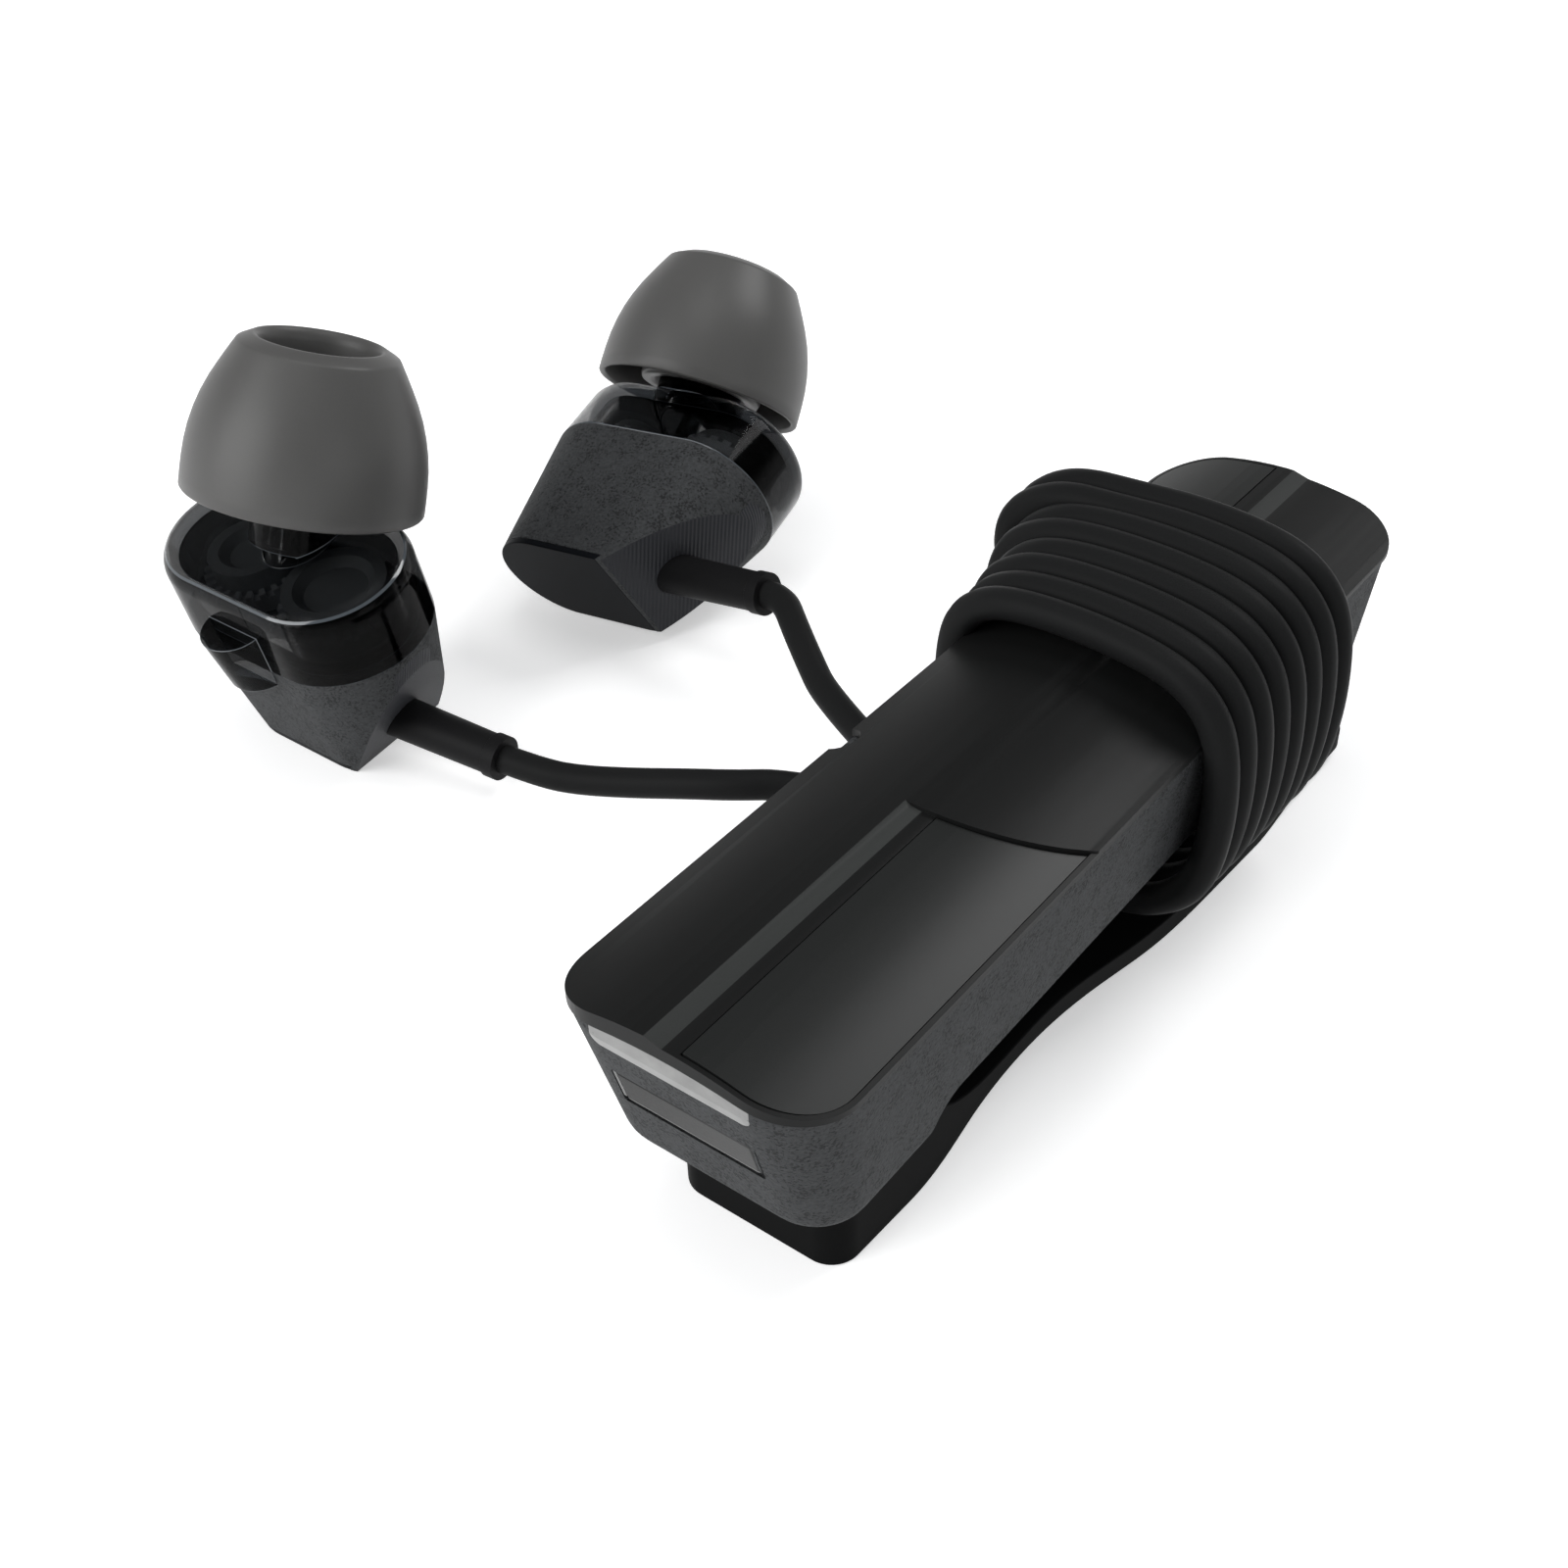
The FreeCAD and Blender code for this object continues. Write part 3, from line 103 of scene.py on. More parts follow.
# %% Rays that see the background
def shown_rays(nodes, links):
    """A node that gives 1 for camera, glass and gloss rays, and 0 for the rays that light the object."""
    light_path = nodes.new("ShaderNodeLightPath")
    total = nodes.new("ShaderNodeMath")
    total.operation = "ADD"
    total.use_clamp = True
    links.new(light_path.outputs["Is Camera Ray"], total.inputs[0])
    links.new(light_path.outputs["Is Transmission Ray"], total.inputs[1])
    every = nodes.new("ShaderNodeMath")
    every.operation = "ADD"
    every.use_clamp = True
    links.new(total.outputs[0], every.inputs[0])
    links.new(light_path.outputs["Is Glossy Ray"], every.inputs[1])
    return every


# %% World
world = bpy.data.worlds.new("studio")
scene.world = world
world.use_nodes = True
nodes, links = world.node_tree.nodes, world.node_tree.links
nodes.clear()
seen = shown_rays(nodes, links)
glow = nodes.new("ShaderNodeBackground")
glow.inputs["Color"].default_value = (1, 1, 1, 1)
heading = nodes.new("ShaderNodeTexCoord")
height = nodes.new("ShaderNodeSeparateXYZ")
ceiling = nodes.new("ShaderNodeMapRange")
ceiling.interpolation_type = "SMOOTHSTEP"
ceiling.inputs["From Min"].default_value = 0.12
ceiling.inputs["From Max"].default_value = 0.42
ceiling.inputs["To Min"].default_value = 1
ceiling.inputs["To Max"].default_value = 0.15
links.new(heading.outputs["Generated"], height.inputs[0])
links.new(height.outputs["Z"], ceiling.inputs["Value"])
links.new(ceiling.outputs["Result"], glow.inputs["Strength"])
room = nodes.new("ShaderNodeBackground")
room.inputs["Color"].default_value = (0.95, 0.97, 1, 1)
room.inputs["Strength"].default_value = 0.28
pick = nodes.new("ShaderNodeMixShader")
links.new(seen.outputs[0], pick.inputs["Fac"])
links.new(room.outputs[0], pick.inputs[1])
links.new(glow.outputs[0], pick.inputs[2])
world_out = nodes.new("ShaderNodeOutputWorld")
links.new(pick.outputs[0], world_out.inputs["Surface"])
print("room light", round(room.inputs["Strength"].default_value, 2))

# %% [markdown]
# Area lamps are soft boxes: the larger one is, the softer its highlight. The strongest stands to the left, past the
# port end, and models the grain and the ear tips. One far behind draws the pale sheen on the buttons, a weak one
# overhead opens the top of the hub, and a faint one from the right lifts the side that faces away.


# %% Soft panels
def panel(name, place, target, width, height, power):
    """A soft square light that faces a point."""
    data = bpy.data.lights.new(name, "AREA")
    data.shape = "RECTANGLE"
    data.size = width
    data.size_y = height
    data.energy = power
    lamp = bpy.data.objects.new(name, data)
    scene.collection.objects.link(lamp)
    lamp.location = place
    lamp.rotation_euler = (target - place).to_track_quat("-Z", "Y").to_euler()
    print(name, power, "W")


middle = on(-20, 18, 8)
panel("left_panel", on(-150, -290, 210), middle, 0.3, 0.3, 1.22)
panel("overhead_panel", on(-20, 20, 400), middle, 0.2, 0.2, 0.26)
panel("far_panel", on(79, 290, 302), middle, 0.16, 0.18, 0.62)
panel("right_panel", on(330, -40, 150), middle, 0.16, 0.16, 0.1)

# %% [markdown]
# The floor is one large pale sheet. It has to look as white as the background and still keep the object's soft
# shadow, so a plain diffuse colour takes the shadow, and a little glow that only the camera, glass and gloss see
# lifts it to white without lighting the object from below.

# %% Floor
floor_half = 3
floor_mesh = bpy.data.meshes.new("floor")
sheet = bmesh.new()
bmesh.ops.create_grid(sheet, x_segments=1, y_segments=1, size=floor_half)
sheet.to_mesh(floor_mesh)
sheet.free()
floor = bpy.data.objects.new("floor", floor_mesh)
scene.collection.objects.link(floor)
print("floor", 2 * floor_half, "m wide")

# %% Pale paper that shows white
floor_paint = bpy.data.materials.new("pale_floor")
floor_paint.use_nodes = True
nodes, links = floor_paint.node_tree.nodes, floor_paint.node_tree.links
nodes.clear()
seen = shown_rays(nodes, links)
paper = nodes.new("ShaderNodeBsdfDiffuse")
paper.inputs["Color"].default_value = (0.86, 0.86, 0.86, 1)
lift = nodes.new("ShaderNodeEmission")
links.new(seen.outputs[0], lift.inputs["Strength"])
lift.inputs["Color"].default_value = (0.48, 0.48, 0.48, 1)
both = nodes.new("ShaderNodeAddShader")
links.new(paper.outputs[0], both.inputs[0])
links.new(lift.outputs[0], both.inputs[1])
floor_out = nodes.new("ShaderNodeOutputMaterial")
links.new(both.outputs[0], floor_out.inputs["Surface"])
floor_mesh.materials.append(floor_paint)

# %% [markdown]
# ## Finishes
#
# Nearly everything is dark moulded plastic, so the pieces are told apart by gloss and grain. Each finish is a
# Principled shader. A fine noise, read in Object coordinates, bends the surface a little and varies its gloss,
# which is how a moulded or spark-eroded surface differs from a plain colour. The index of refraction (ior) is set
# low on the near-black plastics, because a full one mirrors enough of the white room to turn them grey.

# %% A moulded finish
roughness_swing = 0.06


def finish(name, colour, roughness, grain=0.0, grain_size=0.2, metal=0.0, mottle=0.15, gloss=0.5, ior=1.45):
    """A material with fine grain: colour in linear light, grain and grain_size in millimetres."""
    material = bpy.data.materials.new(name)
    material.use_nodes = True
    tree = material.node_tree
    shader = tree.nodes["Principled BSDF"]
    shader.inputs["Metallic"].default_value = metal
    shader.inputs["Specular IOR Level"].default_value = gloss
    shader.inputs["IOR"].default_value = ior
    place = tree.nodes.new("ShaderNodeTexCoord")
    noise = tree.nodes.new("ShaderNodeTexNoise")
    noise.inputs["Scale"].default_value = 1 / (grain_size * MM)
    noise.inputs["Detail"].default_value = 3
    tree.links.new(place.outputs["Object"], noise.inputs["Vector"])
    tone = tree.nodes.new("ShaderNodeMix")
    tone.name = "tone"
    tone.data_type = "RGBA"
    tone.inputs["A"].default_value = (*[c * (1 - mottle) for c in colour], 1)
    tone.inputs["B"].default_value = (*[c * (1 + mottle) for c in colour], 1)
    tree.links.new(noise.outputs["Fac"], tone.inputs["Factor"])
    tree.links.new(tone.outputs["Result"], shader.inputs["Base Color"])
    dull = tree.nodes.new("ShaderNodeMapRange")
    dull.inputs["To Min"].default_value = max(0.02, roughness - roughness_swing)
    dull.inputs["To Max"].default_value = min(1.0, roughness + roughness_swing)
    tree.links.new(noise.outputs["Fac"], dull.inputs["Value"])
    tree.links.new(dull.outputs["Result"], shader.inputs["Roughness"])
    bump = tree.nodes.new("ShaderNodeBump")
    bump.name = "bump"
    bump.inputs["Strength"].default_value = 1
    bump.inputs["Distance"].default_value = grain * MM
    tree.links.new(noise.outputs["Fac"], bump.inputs["Height"])
    tree.links.new(bump.outputs["Normal"], shader.inputs["Normal"])
    return material


# %% Plain finishes
paints = {
    "cover": finish("cover_plastic", (0.0085, 0.0088, 0.0088), 0.40, grain=0.002, grain_size=0.05, gloss=0.4,
                    ior=1.25),
    "button": finish("button_plastic", (0.0135, 0.0145, 0.0142), 0.36, grain=0.001, grain_size=0.06, gloss=0.5,
                     ior=1.3),
    "window": finish("frosted_white", (0.265, 0.265, 0.261), 0.3, grain=0.01, grain_size=0.9, mottle=0.3),
    "emitter": finish("emitter_white", (0.7, 0.7, 0.66), 0.3),
    "board": finish("solder_mask", (0.01, 0.08, 0.04), 0.4),
    "foil": finish("battery_foil", (0.5, 0.5, 0.52), 0.35, metal=1, grain=0.01, grain_size=0.6),
    # The strip's paler colour is partly its satin finish and partly a painted sheen of the light falling on its
    # slope.
    "strip": finish("strip_satin_and_painted_sheen", (0.034, 0.036, 0.035), 0.4, grain=0.002, grain_size=0.05, gloss=0.4,
                    ior=1.25),
    "door": finish("door_plastic", (0.062, 0.062, 0.061), 0.5, grain=0.004, grain_size=0.12, gloss=0.3,
                   ior=1.3),
    # This pale grey is a painted highlight: it stands for the light caught by the lit edges round the port door.
    "painted_edge_light": finish("door_edge_painted_light", (0.16, 0.16, 0.158), 0.45, grain=0.002, gloss=0.4),
    "clip": finish("clip_plastic", (0.0076, 0.0078, 0.0079), 0.42, grain=0.002, grain_size=0.06, gloss=0.05,
                   ior=1.2),
    "steel": finish("plain_steel", (0.5, 0.5, 0.5), 0.3, metal=1),
    "cord": finish("cord_jacket", (0.0125, 0.0128, 0.013), 0.48, grain=0.004, grain_size=0.08, gloss=0.2,
                   ior=1.2),
    "driver": finish("driver_can", (0.42, 0.44, 0.46), 0.35),
    "ring": finish("driver_ring", (0.72, 0.75, 0.78), 0.3),
    "carrier": finish("carrier_plastic", (0.1, 0.105, 0.11), 0.4),
    "cap": finish("cap_plastic", (0.0062, 0.007, 0.0088), 0.42, grain=0.002, grain_size=0.05, gloss=0.1,
                  ior=1.25),
    "relief": finish("relief_rubber", (0.0085, 0.0085, 0.009), 0.5, grain=0.003, grain_size=0.08, gloss=0.4,
                     ior=1.2),
    "mesh": finish("wax_mesh", (0.35, 0.35, 0.36), 0.4, metal=1),
}
print("plain finishes", len(paints))

# %% [markdown]
# The housing and the earbuds' backs have a coarse, stone-like texture with scattered dark pits. Two more noises are
# laid over the plain finish: a fine one, cut off high so that only its peaks become pits, and a broad one that
# gathers the pits in clusters. The same mask darkens the colour and sinks the surface.

# %% The pitted, stone-like finish
cluster_width = 7
cluster_share = 0.4
mask_start, mask_full = 0.72, 0.86
pit_softness = 0.8


def pitted(material, pit_size, pit_depth, darkness):
    """Add clustered dark pits to a finish: size and depth in millimetres."""
    tree = material.node_tree
    shader = tree.nodes["Principled BSDF"]
    place = tree.nodes.new("ShaderNodeTexCoord")
    pits = tree.nodes.new("ShaderNodeTexNoise")
    pits.inputs["Scale"].default_value = 1 / (pit_size * MM)
    pits.inputs["Detail"].default_value = 2
    broad = tree.nodes.new("ShaderNodeTexNoise")
    broad.inputs["Scale"].default_value = 1 / (pit_size * cluster_width * MM)
    broad.inputs["Detail"].default_value = 1
    for noise in (pits, broad):
        tree.links.new(place.outputs["Object"], noise.inputs["Vector"])
    gathered = tree.nodes.new("ShaderNodeMath")
    gathered.operation = "MULTIPLY_ADD"
    gathered.inputs[1].default_value = cluster_share
    tree.links.new(broad.outputs["Fac"], gathered.inputs[0])
    tree.links.new(pits.outputs["Fac"], gathered.inputs[2])
    mask = tree.nodes.new("ShaderNodeMapRange")
    mask.interpolation_type = "SMOOTHSTEP"
    mask.inputs["From Min"].default_value = mask_start
    mask.inputs["From Max"].default_value = mask_full
    tree.links.new(gathered.outputs[0], mask.inputs["Value"])
    darker = tree.nodes.new("ShaderNodeMix")
    darker.data_type = "RGBA"
    tree.links.new(mask.outputs["Result"], darker.inputs["Factor"])
    tree.links.new(tree.nodes["tone"].outputs["Result"], darker.inputs["A"])
    darker.inputs["B"].default_value = (darkness, darkness * 1.04, darkness * 1.08, 1)
    tree.links.new(darker.outputs["Result"], shader.inputs["Base Color"])
    sink = tree.nodes.new("ShaderNodeBump")
    sink.invert = True
    sink.inputs["Strength"].default_value = pit_softness
    sink.inputs["Distance"].default_value = pit_depth * MM
    tree.links.new(mask.outputs["Result"], sink.inputs["Height"])
    tree.links.new(tree.nodes["bump"].outputs["Normal"], sink.inputs["Normal"])
    tree.links.new(sink.outputs["Normal"], shader.inputs["Normal"])
    return material


pit_width, pit_depth = 0.15, 0.03
grained = finish("grained_plastic", (0.0485, 0.0505, 0.0525), 0.65, grain=0.035, grain_size=0.2, mottle=0.55,
                 gloss=0.4, ior=1.25)
paints["housing"] = pitted(grained, pit_width, pit_depth, darkness=0.022)
print("pits", pit_width, "mm wide")

# %% [markdown]
# The port door goes from dark to pale from one side to the other, as light falls on a slightly dished plate. The
# solid is
# flat there, so this is painted shade: a colour that grows lighter along X in the piece's own coordinates, the same
# from any side, and costing no faces.

# %% Painted shade that grows lighter across a piece
def painted_shade_across(material, dark, light, reach):
    """Paint shade as two greys mixed along X, from -reach to reach in millimetres."""
    tree = material.node_tree
    place = tree.nodes.new("ShaderNodeTexCoord")
    split = tree.nodes.new("ShaderNodeSeparateXYZ")
    share = tree.nodes.new("ShaderNodeMapRange")
    share.inputs["From Min"].default_value = -reach * MM
    share.inputs["From Max"].default_value = reach * MM
    grey = tree.nodes.new("ShaderNodeMix")
    grey.data_type = "RGBA"
    grey.inputs["A"].default_value = (dark, dark, dark, 1)
    grey.inputs["B"].default_value = (light, light, light, 1)
    tree.links.new(place.outputs["Object"], split.inputs[0])
    tree.links.new(split.outputs["X"], share.inputs["Value"])
    tree.links.new(share.outputs["Result"], grey.inputs["Factor"])
    tree.links.new(grey.outputs["Result"], tree.nodes["Principled BSDF"].inputs["Base Color"])


# The two greys are painted shade and painted light, not the door's own colour.
door_painted_shade, door_painted_light, door_reach = 0.026, 0.062, 3
painted_shade_across(paints["door"], door_painted_shade, door_painted_light, door_reach)
print("door grows lighter over", 2 * door_reach, "mm")

# %% [markdown]
# The cable cap round each strain relief is combed with ribs about a tenth of a millimetre apart. Cutting them would
# cost thousands of faces for something seen only as a silky texture, so a wave texture bends the surface instead.
# Blender's wave texture has one band every 2 pi / (20 x scale), and the scale is worked out from the ribs' pitch.

# %% The combed finish of the cable caps
rib_pitch, rib_depth = 0.16, 0.03


def combed(name, hand_turn):
    """The cap's finish with fine parallel ribs, turned with the earbud."""
    material = finish(name, (0.038, 0.0395, 0.0445), 0.45, grain=0.001, grain_size=0.05, gloss=0.4, ior=1.25)
    tree = material.node_tree
    place = tree.nodes.new("ShaderNodeTexCoord")
    turned = tree.nodes.new("ShaderNodeMapping")
    turned.inputs["Rotation"].default_value = hand_turn
    wave = tree.nodes.new("ShaderNodeTexWave")
    wave.bands_direction = "X"
    wave.inputs["Scale"].default_value = 2 * math.pi / (20 * rib_pitch * MM)
    wave.inputs["Distortion"].default_value = 0
    comb = tree.nodes.new("ShaderNodeBump")
    comb.inputs["Strength"].default_value = 1
    comb.inputs["Distance"].default_value = rib_depth * MM
    tree.links.new(place.outputs["Object"], turned.inputs["Vector"])
    tree.links.new(turned.outputs["Vector"], wave.inputs["Vector"])
    tree.links.new(wave.outputs["Fac"], comb.inputs["Height"])
    tree.links.new(comb.outputs["Normal"], tree.nodes["Principled BSDF"].inputs["Normal"])
    return material


paints["left_ribbed"] = combed("left_combed_cap", (0, 0, math.radians(80)))
paints["right_ribbed"] = combed("right_combed_cap", (0, 0, math.radians(60)))
print("ribs", rib_pitch, "mm apart")

# %% [markdown]
# The front shells are smoke-grey clear plastic. A real index of refraction of about 1.5 would bend in the white of
# the floor and turn the shells pale. So the index is low, the tint is near black, and Alpha lets part of the light
# straight through: more through the lid, which shows the drivers dimly, and less through the deep side walls. Clear
# plastic also gathers light at its edges, and that light is painted: the rounded rim has a paler, glossy colour, a
# painted highlight.

# %% Smoke-grey clear plastic
smoke_index = 1.15
speckle_size = 1.5


def smoke_plastic(name, alpha):
    """Tinted clear plastic: alpha is the share of light that one surface keeps back."""
    smoke = bpy.data.materials.new(name)
    smoke.use_nodes = True
    tree = smoke.node_tree
    shader = tree.nodes["Principled BSDF"]
    shader.inputs["Transmission Weight"].default_value = 1
    shader.inputs["IOR"].default_value = smoke_index
    shader.inputs["Specular IOR Level"].default_value = 0.5
    shader.inputs["Alpha"].default_value = alpha
    place = tree.nodes.new("ShaderNodeTexCoord")
    speckle = tree.nodes.new("ShaderNodeTexNoise")
    speckle.inputs["Scale"].default_value = 1 / (speckle_size * MM)
    tint = tree.nodes.new("ShaderNodeMix")
    tint.data_type = "RGBA"
    tint.inputs["A"].default_value = (0.0008, 0.001, 0.0013, 1)
    tint.inputs["B"].default_value = (0.0014, 0.0018, 0.0022, 1)
    haze = tree.nodes.new("ShaderNodeMapRange")
    haze.inputs["To Min"].default_value = 0.03
    haze.inputs["To Max"].default_value = 0.09
    tree.links.new(place.outputs["Object"], speckle.inputs["Vector"])
    tree.links.new(speckle.outputs["Fac"], tint.inputs["Factor"])
    tree.links.new(tint.outputs["Result"], shader.inputs["Base Color"])
    tree.links.new(speckle.outputs["Fac"], haze.inputs["Value"])
    tree.links.new(haze.outputs["Result"], shader.inputs["Roughness"])
    return smoke


paints["smoke"] = smoke_plastic("smoke_clear", 0.56)
paints["smoke_side"] = smoke_plastic("smoke_deep", 0.88)
# The rim colour is a painted highlight: a paler tint standing for the light that clear plastic gathers at its edges.
paints["smoke_rim_painted_highlight"] = finish("smoke_rim_painted_highlight", (0.07, 0.081, 0.092), 0.1, gloss=0.5, ior=1.6)
print("finishes in all", len(paints))

# %% [markdown]
# ## Dressing the rigid pieces
#
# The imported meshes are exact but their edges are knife-sharp, and no moulded edge is. So each visible rigid piece
# is copied, its triangles are joined back into whole faces, and its edges get a small round that catches light.
# Shading is smoothed only across edges flatter than the chosen angle, so corners still read as corners.

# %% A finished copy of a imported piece
body_of = {node: body for body, names in frame["record"]["behaviour"]["bodies"].items() for node in names}


merge_distance = 0.002
flat_angle = math.radians(0.6)
edge_angle = math.radians(32)


def dressed(node, paint, round_mm, segments=3):
    """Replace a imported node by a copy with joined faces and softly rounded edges."""
    source = frame["nodes"][node]
    mesh = bpy.data.meshes.new(node + "_finished")
    work = bmesh.new()
    work.from_mesh(source.data)
    work.transform(source.matrix_world)
    bmesh.ops.remove_doubles(work, verts=work.verts, dist=merge_distance * MM)
    bmesh.ops.dissolve_limit(work, angle_limit=flat_angle, verts=work.verts, edges=work.edges)
    work.to_mesh(mesh)
    work.free()
    piece = bpy.data.objects.new(node + "_finished", mesh)
    scene.collection.objects.link(piece)
    mesh.materials.append(paints[paint])
    mesh.polygons.foreach_set("use_smooth", [True] * len(mesh.polygons))
    mesh.set_sharp_from_angle(angle=edge_angle)
    rounding = piece.modifiers.new("round", "BEVEL")
    rounding.width = round_mm * MM
    rounding.segments = segments
    rounding.limit_method = "ANGLE"
    rounding.angle_limit = edge_angle
    rounding.harden_normals = True
    rounding.use_clamp_overlap = True
    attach(piece, body_of[node])
    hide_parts(node)
    return piece


# %% [markdown]
# Some pieces are moulded in one, but their faces differ, such as the raised strip on the cover, which is a paler
# satin and also carries a painted sheen of the light on its slope, or the back of the door, which carries a painted
# highlight. A second material slot on those faces is enough. The faces are picked by the way they look and by
# their middle, because a imported mesh has no names for them.

# %% Faces with a finish of their own
def repaint(piece, paint, belongs):
    """Give the faces that belong(normal, middle in millimetres) a second finish."""
    piece.data.materials.append(paints[paint])
    slot = len(piece.data.materials) - 1
    chosen = [face for face in piece.data.polygons if belongs(face.normal, face.center / MM)]
    for face in chosen:
        face.material_index = slot
    print(piece.name, paint, len(chosen), "faces")


# %% [markdown]
# The strip beside each button is about twice as broad in the picture as in the solid. The cover's copy is an
# ordinary mesh, so the corners of the strip's lower edge can simply be moved along the band.

# %% A broader strip beside each button
strip_edge = 0.47
strip_growth = 0.42
edge_tolerance = 0.03
cover_middle = 20


def widen_strip(cover):
    """Move the lower edge of both strips towards the cover's centre line."""
    moved = 0
    for vert in cover.data.vertices:
        x, y = vert.co.x / MM, vert.co.y / MM
        for edge, way in ((-strip_edge, 1), (strip_edge, -1)):
            if abs(x - edge) < edge_tolerance and (y < cover_middle) == (way > 0):
                vert.co.x += way * strip_growth * MM
                moved += 1
    print("strip corners moved", moved)


# %% [markdown]
# ## The hub
#
# The hub is a granular housing under a smooth crowned cover, with a button plate in each end of the cover and a
# window and a charging port in its near end. Each piece gets its finish and a round that suits its size: 0.25 mm on
# the large mouldings and 0.05 to 0.1 mm on thin plates.

# %% Hub pieces
cover = dressed("top_cover", "cover", 0.1)
# The right- and up-facing strip faces get the paler satin colour with its painted sheen.
repaint(cover, "strip", lambda normal, place: normal.z > 0.5 and normal.x > 0.3 and abs(place.x) < 1.2)
widen_strip(cover)
dressed("front_button", "button", 0.1)
dressed("rear_button", "button", 0.1)
housing = dressed("housing", "housing", 0.25, 4)
# The up-facing walls of the door's opening get the painted highlight, a pale grey standing for light reaching into
# the groove.
repaint(housing, "painted_edge_light", lambda normal, place: place.y < -5 and normal.z > 0.2 and abs(place.x) < 3.6
        and place.z < 6)
dressed("light_window", "window", 0.05)
door = dressed("port_door", "door", 0.08)
# The door's rounded lower edge gets the same painted highlight.
repaint(door, "painted_edge_light", lambda normal, place: normal.z < -0.3)
dressed("clip", "clip", 0.25, 4)
dressed("cord_grommet", "relief", 0.2)

# %% [markdown]
# The door needs room to swing, so the solids leave a gap round it, and the floor would shine through. In the picture
# that gap is closed, probably by a soft lip. Here three thin bars close it, fitted to the door's own face, which
# leans, and left just clear of the door at its sides so that it still opens.

# %% Frame round the port door
lip_overlap = 0.05
lip_depth = 0.3
lip_sink = -0.17


def port_frame(reach, gap, clearance):
    """Three thin bars in the gap round the door: half width, gap and clearance in millimetres."""
    door = bpy.data.objects["port_door_finished"].data
    face = max((face for face in door.polygons if face.normal.y < -0.5), key=lambda face: face.area)
    out, across = face.normal.copy(), Vector((1, 0, 0))
    up = out.cross(across)
    heights = [door.vertices[index].co.dot(up) for index in face.vertices]
    tall = (max(heights) - min(heights)) / MM
    foot = out * face.center.dot(out) + up * min(heights)
    axes = Matrix.Translation(foot) @ Matrix((across, up, out)).transposed().to_4x4()
    top_bar = (-reach - gap, reach + gap, tall + lip_overlap, tall + gap, 0)
    right_bar = (reach + clearance, reach + gap, 0, tall + lip_overlap, 0)
    # The left bar carries the painted highlight of a lit edge; the top and right bars take the housing's finish.
    left_bar = (-reach - gap, -reach - clearance, 0, tall + lip_overlap, 1)
    work = bmesh.new()
    for left, right, bottom, top, slot in (top_bar, right_bar, left_bar):
        size = Matrix.Diagonal(on(right - left, top - bottom, lip_depth)).to_4x4()
        place = Matrix.Translation(on((left + right) / 2, (bottom + top) / 2, lip_sink))
        made = bmesh.ops.create_cube(work, size=1, matrix=axes @ place @ size)
        for part in {part for vert in made["verts"] for part in vert.link_faces}:
            part.material_index = slot
    mesh = bpy.data.meshes.new("port_frame")
    work.to_mesh(mesh)
    work.free()
    mesh.materials.append(paints["housing"])
    mesh.materials.append(paints["painted_edge_light"])
    piece = bpy.data.objects.new("port_frame", mesh)
    scene.collection.objects.link(piece)
    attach(piece, "hub")
    print("door face", round(tall, 2), "mm tall")


port_frame(3.45, 0.19, 0.02)

# %% [markdown]
# ## The earbuds
#
# The two buds are the same set of pieces at different tilts, so one loop dresses both. The faces of the cable cap
# and of the clear shell are told apart by the way of their largest face. On the shell that is the lid: faces that
# lean well away from it are walls, and a narrow band on the rounded rim gets the painted highlight, a paler colour.

# %% Rigid pieces of the earbuds
facet_share = 0.9
wall_share = 0.8
rim_share = 0.62
rim_reach = 1

for hand in ("left", "right"):
    dressed(hand + "_rear_body", "housing", 0.2)
    dressed(hand + "_end_cap", "cap", 0.2)
    cable_cap = dressed(hand + "_cable_cap", hand + "_ribbed", 0.12)
    facet_way = max(cable_cap.data.polygons, key=lambda face: face.area).normal.copy()
    repaint(cable_cap, "housing", lambda normal, place: abs(normal.dot(facet_way)) < facet_share)
    dressed(hand + "_strain_relief", "relief", 0.12)
    shell = dressed(hand + "_front_shell", "smoke", 0.22, 4)
    # The round faces of the bevel take the rim's painted highlight.
    shell.data.materials.append(paints["smoke_rim_painted_highlight"])
    shell.modifiers["round"].material = 1
    upward = [face for face in shell.data.polygons if face.normal.z > 0.85]
    lid = max(upward, key=lambda face: face.area)
    lid_way = lid.normal.copy()
    lid_height = lid.center.dot(lid_way) / MM
    repaint(shell, "smoke_side", lambda normal, place: abs(normal.dot(lid_way)) < wall_share)
    # A narrow band of the rounded rim also gets the painted highlight.
    repaint(shell, "smoke_rim_painted_highlight", lambda normal, place: rim_share < normal.dot(lid_way) < wall_share
            and -rim_reach < place.dot(lid_way) - lid_height < 0)

# %% [markdown]
# ## The pieces inside
#
# The board, battery and socket show only when the door opens, and the drivers only through the smoke-grey lid. Their
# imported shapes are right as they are, so they keep their own meshes and only take a finish.

# %% Plain finishes for the pieces inside
plain = {"light_emitter": "emitter", "charge_socket": "steel", "circuit_board": "board", "battery": "foil",
         "front_switch": "steel", "rear_switch": "steel", "clip_pin": "steel", "clip_spring": "steel"}
for hand in ("left", "right"):
    plain[hand + "_nozzle_mesh"] = "mesh"
    plain[hand + "_driver_carrier"] = "carrier"
    for size in ("large", "small"):
        plain[f"{hand}_{size}_driver"] = "driver"
        plain[f"{hand}_{size}_driver_ring"] = "ring"


def paint_node(node, paint):
    """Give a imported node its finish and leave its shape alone."""
    node_object = frame["nodes"][node]
    for slot in node_object.material_slots:
        slot.material = paints[paint]
    if not node_object.material_slots:
        node_object.data.materials.append(paints[paint])


for node, paint in plain.items():
    paint_node(node, paint)
print("packed pieces with a finish", len(plain))

